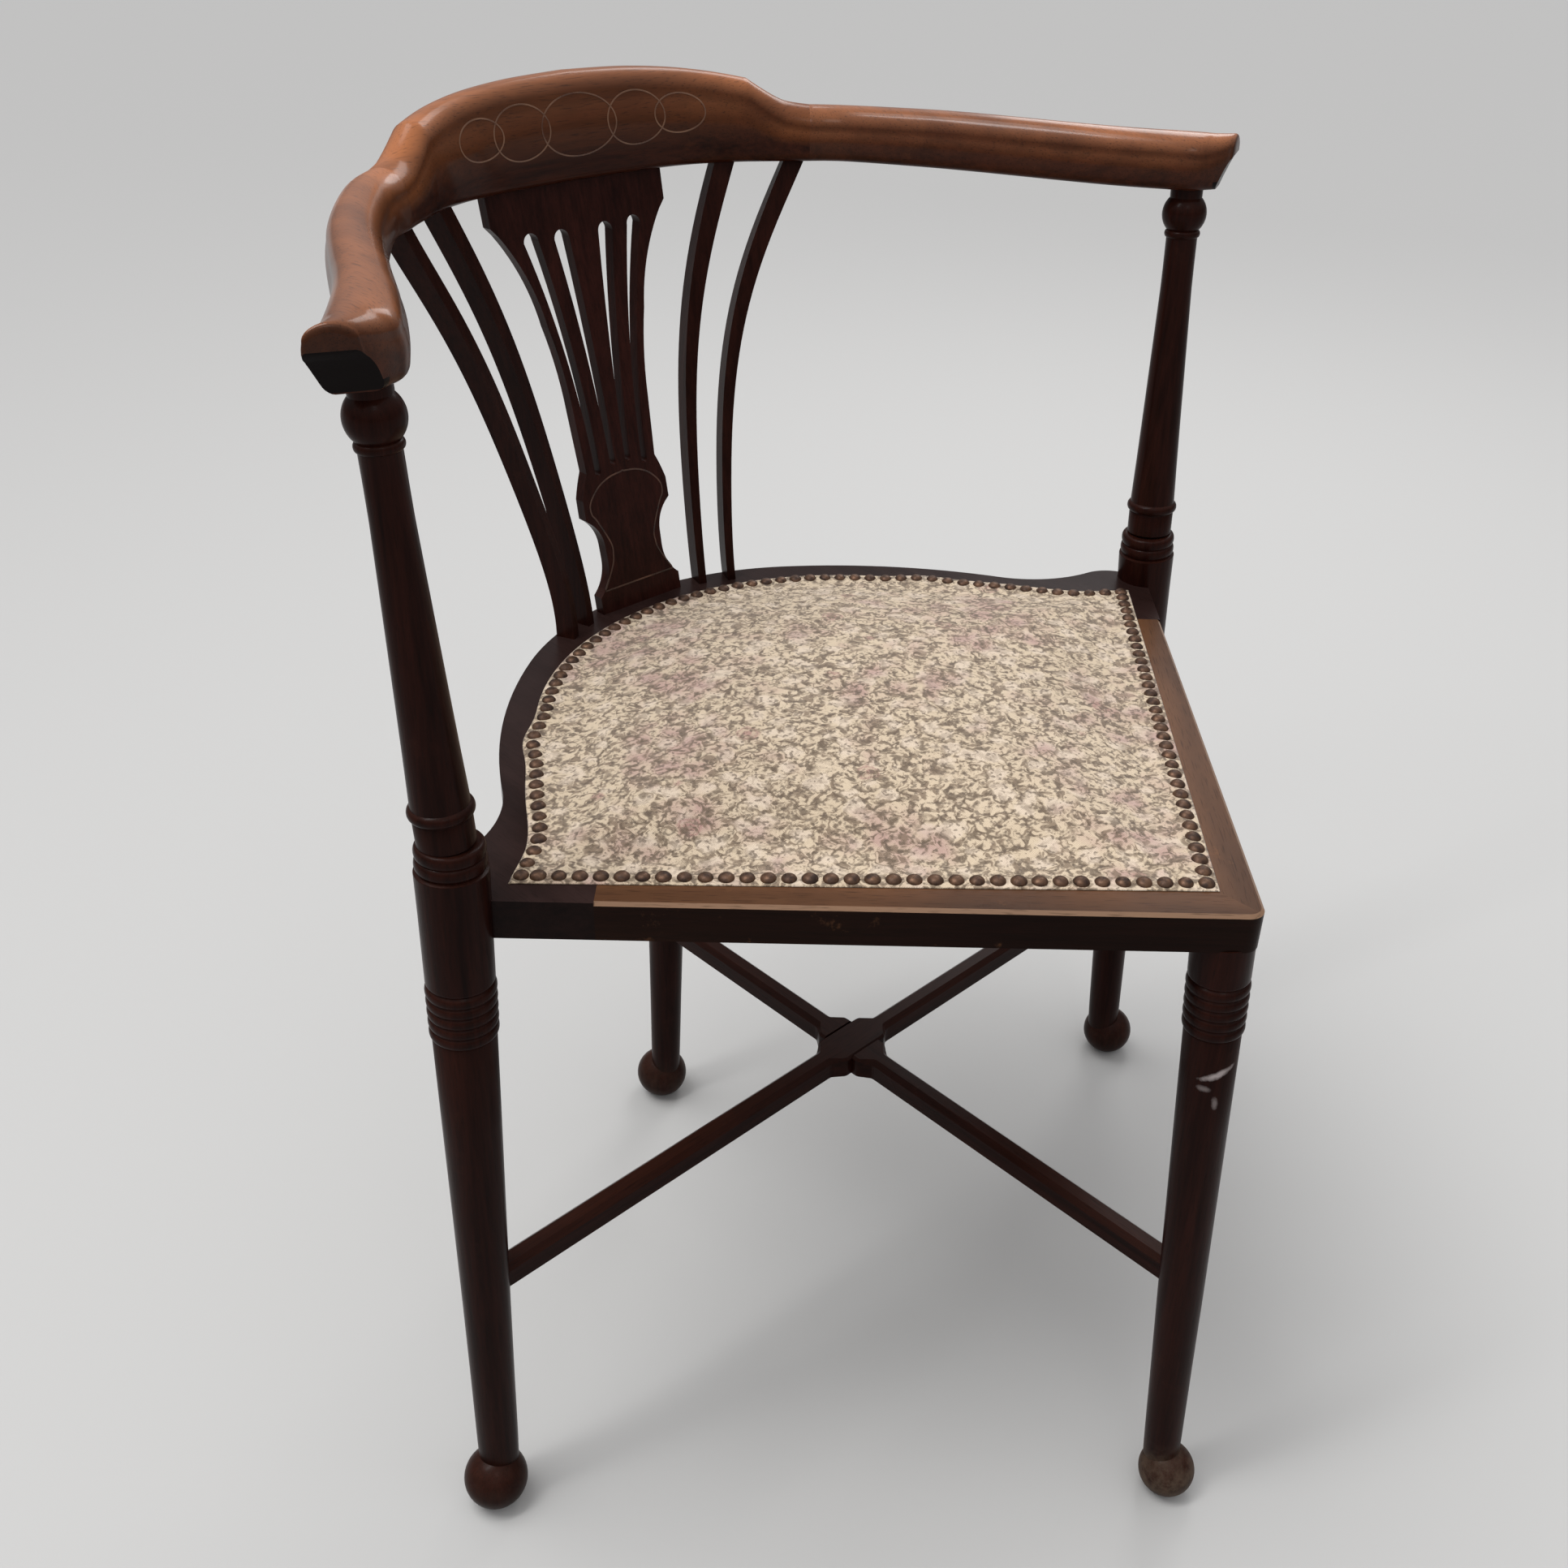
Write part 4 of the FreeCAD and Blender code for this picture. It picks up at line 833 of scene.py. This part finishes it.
rings = [full_ring(inset, 2) for inset in (5.9, 12, 24, 40, 60, 84, 110, 140)]
rings += [toward_middle(rings[-1], share) for share in (0.66, 0.33, 0.02)]
vertices = []
half_pitch = STRAP_PITCH / 2
for ring in rings:
    for p in ring:
        ridge = math.cos(math.pi * p.x / half_pitch) * math.cos(math.pi * (p.y - SEAT_MIDDLE) / half_pitch)
        vertices.append(Vector((p.x, p.y + SHIFT, 427.75 + 0.12 * ridge)) * MM)
hessian = made("hessian_cloth", vertices, cloth_faces(len(rings), len(rings[0])), hessian_weave, smooth_angle=60)
thickened(hessian, 0.0005, 0)
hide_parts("hessian")

# ---------------------------------------------------------------- seat pad
# Curled fibre under the cover, pressed into a low crown that is highest toward the middle of the seat. It is a
# flat-bottomed body, blown up a little by the cloth solver.
stuffing_fibre, tree, place = upholstery("stuffing_fibre")
fibre = tree.noise(place, 260.0, 6.0, 0.7, 1.5)
tree.shade(Base_Color=tree.blend(fibre, (0.045, 0.030, 0.020, 1), (0.24, 0.17, 0.10, 1)), Roughness=0.95,
           Normal=tree.bump(0.8, 0.001, fibre))
CROWN_REACH = 150.0  # inset at which the crown is full
PAD_BOTTOM, PAD_EDGE, CROWN_RISE = 428.4, 429.6, 11.2
HELD_BELOW, MOST_SWELL, SWELL_STEPS = 0.4305, 0.004, 20


def crown(inset):
    """Share of the crown reached at an inset."""
    return 1 - (1 - min(max(inset, 0.0), CROWN_REACH) / CROWN_REACH) ** 2.2


INSETS = (7.0, 10.0, 15.0, 22.0, 32.0, 45.0, 62.0, 82.0, 105.0, 130.0, CROWN_REACH)
levels = [full_ring(7.0, 1)] * 2 + [full_ring(inset, 1) for inset in INSETS[1:]]
heights = [PAD_BOTTOM, 429.8] + [PAD_EDGE + CROWN_RISE * crown(inset) for inset in INSETS[1:]]
pad_rings = [placed(ring, height) for ring, height in zip(levels, heights)]
pad = made("seat_pad", *skin(pad_rings), stuffing_fibre)
fitted(pad.modifiers.new("even", "REMESH"), mode="VOXEL", voxel_size=0.0055)
even = settled(pad)
for vertex in even.vertices:
    vertex.co.z = max(vertex.co.z, PAD_BOTTOM * MM)
resting = [vertex.co.copy() for vertex in even.vertices]
held = pad.vertex_groups.new(name="held")
held.add([v.index for v in even.vertices if v.co.z < HELD_BELOW], 1.0, "REPLACE")
cloth = pad.modifiers.new("swell", "CLOTH")
fitted(cloth.settings, quality=6, use_pressure=True, uniform_pressure_force=4.0, vertex_group_mass="held",
       tension_stiffness=15.0, bending_stiffness=2.0)
cloth.settings.effector_weights.gravity = 0.0
fitted(cloth.point_cache, frame_start=1, frame_end=SWELL_STEPS)
for step in range(1, SWELL_STEPS + 1):
    bpy.context.scene.frame_set(step)
swollen = settled(pad)
bpy.context.scene.frame_set(1)
for vertex, rest in zip(swollen.vertices, resting):
    move = vertex.co - rest
    if move.length > MOST_SWELL:
        move = move * (MOST_SWELL / move.length)
    vertex.co = rest + move
fitted(pad.modifiers.new("finer", "SUBSURF"), levels=1)
smoothed(settled(pad))
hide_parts("seat_stuffing")
pad_tree = BVHTree.FromObject(pad, bpy.context.evaluated_depsgraph_get())

# ---------------------------------------------------------------- tapestry cover
# A floral tapestry on a cream ground, with pale blooms, dusty roses and grey-brown leaves. It is strained over the
# pad and nailed down all round: flat under the nails, with a slight puff between each two.
def cells_of(tree, vector, scale, feature="F1"):
    """Distance to the nearest cell, or to the edge between two."""
    return tree.node("ShaderNodeTexVoronoi", Vector=vector, feature=feature, Scale=scale).outputs["Distance"]


tapestry, tree, place = upholstery("tapestry")
wander = tree.node("ShaderNodeTexNoise", Vector=place, Scale=95.0, Detail=2.0).outputs["Color"]
bent = tree.node("ShaderNodeVectorMath", operation="MULTIPLY_ADD")
for socket, value in zip(bent.inputs, (wander, (0.014, 0.014, 0.0), place)):
    tree.give(socket, value)
bent = bent.outputs[0]
bloom = tree.ramp(cells_of(tree, bent, 66.0), 0.44, 0.26)
pink = tree.ramp(tree.noise(place, 19.0, 2.0), 0.49, 0.62)
pink = tree.times(pink, tree.ramp(cells_of(tree, bent, 58.0), 0.75, 0.30))
rose_away = tree.scaled(tree.noise(place, 260.0, 2.0), 0.10, cells_of(tree, place, 21.0))
petals = tree.ramp(tree.math("SINE", tree.times(rose_away, 78.0)), -0.3, 0.6)
rose = tree.times(tree.ramp(rose_away, 0.21, 0.17), tree.scaled(petals, 0.5, 0.25))
leaf_zone = tree.times(tree.ramp(tree.noise(place, 48.0, 3.0, 0.6), 0.26, 0.42), tree.scaled(bloom, -0.62, 1.0))
leaf = tree.times(tree.ramp(tree.noise(bent, 235.0, 2.0, 0.5, 0.8), 0.49, 0.60), leaf_zone)
twig = tree.ramp(cells_of(tree, bent, 135.0, "DISTANCE_TO_EDGE"), 0.17, 0.07)
twig = tree.times(tree.times(twig, tree.ramp(tree.noise(place, 190.0, 2.0), 0.46, 0.56)), leaf_zone)
speck = tree.ramp(tree.noise(place, 340.0, 1.0), 0.57, 0.66)
threads = weave_of(tree, place, 0.00085)
colour = tree.blend(tree.noise(place, 26.0, 3.0), (0.56, 0.44, 0.30, 1), (0.72, 0.585, 0.43, 1))
for mask, share, dye in ((bloom, 0.6, (0.75, 0.62, 0.50, 1)), (pink, 0.68, (0.42, 0.235, 0.225, 1)),
                         (rose, 1.0, (0.34, 0.16, 0.15, 1)), (leaf, 0.80, (0.150, 0.096, 0.062, 1)),
                         (twig, 0.85, (0.105, 0.068, 0.044, 1)), (speck, 0.7, (0.092, 0.060, 0.044, 1)),
                         (threads, 0.25, (0.30, 0.25, 0.17, 1))):
    colour = tree.blend(tree.times(mask, share), colour, dye)
tree.shade(Base_Color=colour, Roughness=0.92, Specular_IOR_Level=0.2, Sheen_Weight=0.25, Sheen_Roughness=0.5,
           Normal=tree.bump(0.5, 0.0004, tree.scaled(speck, -0.6, threads)))
PARTS = 6  # points of the cover for each nail
COVER_EDGE, OVER_PAD, PUFF = 0.431, 0.0011, 0.0006  # in metres
DEPTHS = (-5.8, -5.2, -3.6, -1.8, 0.0, 1.2, 2.4, 3.6, 5.0, 6.5, 8.5, 11.0, 14.0, 18.0, 23.0, 29.0, 36.0, 44.0, 54.0,
          66.0, 80.0, 96.0, 114.0, 134.0)
rows = [(depth, full_ring(depth, PARTS, math.exp(-max(depth, 0.0) / 45.0))) for depth in DEPTHS]
core = rows[-1][1]
rows += [(CROWN_REACH, toward_middle(core, share)) for share in (0.72, 0.46, 0.22, 0.04)]
vertices = []
for depth, ring in rows:
    for number, p in enumerate(ring):
        spot = Vector((p.x, p.y + SHIFT, 0)) * MM
        hit = pad_tree.ray_cast(Vector((spot.x, spot.y, 0.5)), Vector((0, 0, -1)))[0]
        height = hit.z + OVER_PAD if hit else COVER_EDGE
        ease = min(1.0, max(0.0, (depth - 3.0) / 12.0))
        height = COVER_EDGE + max(0.0, height - COVER_EDGE) * ease * ease * (3 - 2 * ease)
        phase = (1 - math.cos(2 * math.pi * number / PARTS)) / 2
        height += PUFF * phase * math.exp(-((depth - 1.5) / 4.5) ** 2)
        if depth < -1.0:
            height -= 0.0002 if depth > -5.5 else 0.0006
        vertices.append(Vector((spot.x, spot.y, height)))
cover = made("tapestry_cover", vertices, cloth_faces(len(rows), len(core)), tapestry, smooth_angle=80)
thickened(cover, 0.0009, -1)
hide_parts("seat_cover")

# ---------------------------------------------------------------- nails
# Domed nails of bronzed brass, dark in the hollows and rubbed to metal in places, driven side by side through the
# edge of the cover. One head is set along the edge with a little difference in size, turn and tilt.
nail_brass, tree, place = upholstery("nail_brass")
tarnish = tree.ramp(tree.noise(place, 210.0, 4.0), 0.35, 0.65)
tree.shade(Base_Color=tree.blend(tarnish, (0.034, 0.017, 0.011, 1), (0.130, 0.066, 0.036, 1)), Metallic=0.6,
           Roughness=tree.scaled(tarnish, -0.12, 0.55), Normal=tree.bump(0.15, 0.0003, tarnish))
HEAD_SIDES, NAIL_LEVEL = 20, 431.1
outline = [(0.2, 2.6), (1.3, 2.52), (2.5, 2.2), (3.4, 1.6), (4.05, 0.85), (4.35, 0.3), (4.4, 0.05), (4.35, -0.25)]
vertices = []
for radius, height in outline:
    for number in range(HEAD_SIDES):
        angle = 2 * math.pi * number / HEAD_SIDES
        vertices.append(Vector((radius * math.cos(angle), radius * math.sin(angle), height)) * MM)
faces = [(b, a, d, c) for a, b, c, d in wall(len(outline), HEAD_SIDES)]
faces.append(list(range(HEAD_SIDES)))
faces.append([(len(outline) - 1) * HEAD_SIDES + number for number in reversed(range(HEAD_SIDES))])
head = made("nail_head", vertices, faces, nail_brass, smooth_angle=50)
spots = bpy.data.meshes.new("nail_spots")
spots.from_pydata([tuple(p) for p in placed(full_ring(0.0, 1, 1.0), NAIL_LEVEL)], [], [])
nails = in_scene("nail_row", spots)

rows_group = bpy.data.node_groups.new("nail_row", "GeometryNodeTree")
sockets = new_sockets(rows_group, "INPUT", Geometry="Geometry", Head="Object", Tilt="Float", Spread="Float",
                      Material="Material")
new_sockets(rows_group, "OUTPUT", Geometry="Geometry")
nail_tree = Shading(rows_group)
given = nail_tree.node("NodeGroupInput").outputs
tilt, back = given["Tilt"], nail_tree.times(given["Tilt"], -1.0)
turn = nail_tree.node("FunctionNodeRandomValue", data_type="FLOAT_VECTOR")
for number, edge, whole in ((0, back, 0.0), (1, tilt, 6.28)):
    nail_tree.give(turn.inputs[number], nail_tree.node("ShaderNodeCombineXYZ", X=edge, Y=edge, Z=whole).outputs[0])
size = nail_tree.node("FunctionNodeRandomValue", data_type="FLOAT")
nail_tree.give(size.inputs[2], nail_tree.math("SUBTRACT", 1.0, given["Spread"]))
nail_tree.give(size.inputs[3], 1.0)
head_shape = nail_tree.node("GeometryNodeObjectInfo", Object=given["Head"]).outputs["Geometry"]
set_out = nail_tree.node("GeometryNodeInstanceOnPoints", Points=given["Geometry"], Instance=head_shape,
                         Rotation=turn.outputs[0], Scale=size.outputs[1])
real = nail_tree.node("GeometryNodeRealizeInstances", Geometry=set_out.outputs[0])
finished = nail_tree.node("GeometryNodeSetMaterial", Geometry=real.outputs[0], Material=given["Material"])
nail_tree.node("NodeGroupOutput", Geometry=finished.outputs[0])
setting = nails.modifiers.new("nails", "NODES")
setting.node_group = rows_group
for label, value in (("Head", head), ("Tilt", 0.07), ("Spread", 0.1), ("Material", nail_brass)):
    setting[sockets[label].identifier] = value
bpy.context.view_layer.update()
settled(nails)
bpy.data.objects.remove(head)
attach(nails, "root")
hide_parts("upholstery_nails")

# ---------------------------------------------------------------- camera, floor and light
# The chair stands on a plain pale floor in soft light. The camera is the photograph's, worked out from the chair's own
# symmetry, its level seat and its four feet.
lens = fitted(bpy.data.cameras.new("camera"), lens=36.83, sensor_width=36.0, clip_start=0.05)
camera = in_scene("camera", lens)
right, up, back = (0.72666, -0.68690, 0.01181), (0.35482, 0.38997, 0.84972), (-0.58827, -0.61327, 0.52710)
camera.matrix_world = Matrix([
    (right[0], up[0], back[0], -0.60133),
    (right[1], up[1], back[1], -0.56130 + SHIFT * MM),
    (right[2], up[2], back[2], 0.88873),
    (0, 0, 0, 1),
])
bpy.context.scene.camera = camera
bpy.context.scene.view_settings.view_transform = "Standard"

floor_mesh = bpy.data.meshes.new("floor")
floor_mesh.from_pydata([(-16, -16, 0), (16, -16, 0), (16, 16, 0), (-16, 16, 0)], [], [(0, 1, 2, 3)])
floor_pale, tree = new_finish("floor_pale")
tree.shade(Base_Color=(0.50, 0.497, 0.487, 1), Roughness=0.9, Specular_IOR_Level=0.1)
floor_mesh.materials.append(floor_pale)
floor = in_scene("floor", floor_mesh)

world = bpy.data.worlds.new("studio")
bpy.context.scene.world = world
world.use_nodes = True
tree = Shading(world.node_tree)
upward = tree.ramp(tree.height(tree.place("Generated")), 0.0, 0.9)
sky = tree.blend(upward, (0.16, 0.16, 0.165, 1), (0.95, 0.95, 0.97, 1))
seen = tree.node("ShaderNodeLightPath").outputs["Is Camera Ray"]
tree.give(world.node_tree.nodes["Background"].inputs["Color"], tree.blend(seen, sky, (0.62, 0.62, 0.62, 1)))


def lamp(name, kind, power, spot, aim, **settings):
    """A lamp at a spot that shines toward its aim."""
    piece = in_scene(name, fitted(bpy.data.lights.new(name, kind), energy=power, **settings))
    piece.location = spot
    piece.rotation_euler = (Vector(aim) - Vector(spot)).to_track_quat("-Z", "Y").to_euler()


lamp("overhead_light", "SUN", 1.15, (0, 0, 0), (0.28, -0.30, -1.0), angle=math.radians(38))
lamp("strip_light", "AREA", 14.0, (-0.9, 0.3, 2.4), (0, 0.1, 0.7), shape="RECTANGLE", size=0.25, size_y=1.5)
lamp("side_light", "AREA", 12.0, (1.7, 0.9, 2.0), (0, 0, 0.5), shape="RECTANGLE", size=0.8, size_y=1.2)
lamp("front_light", "AREA", 3.0, (-1.0, -1.6, 2.6), (0, 0, 0.5), shape="RECTANGLE", size=0.7, size_y=0.7)
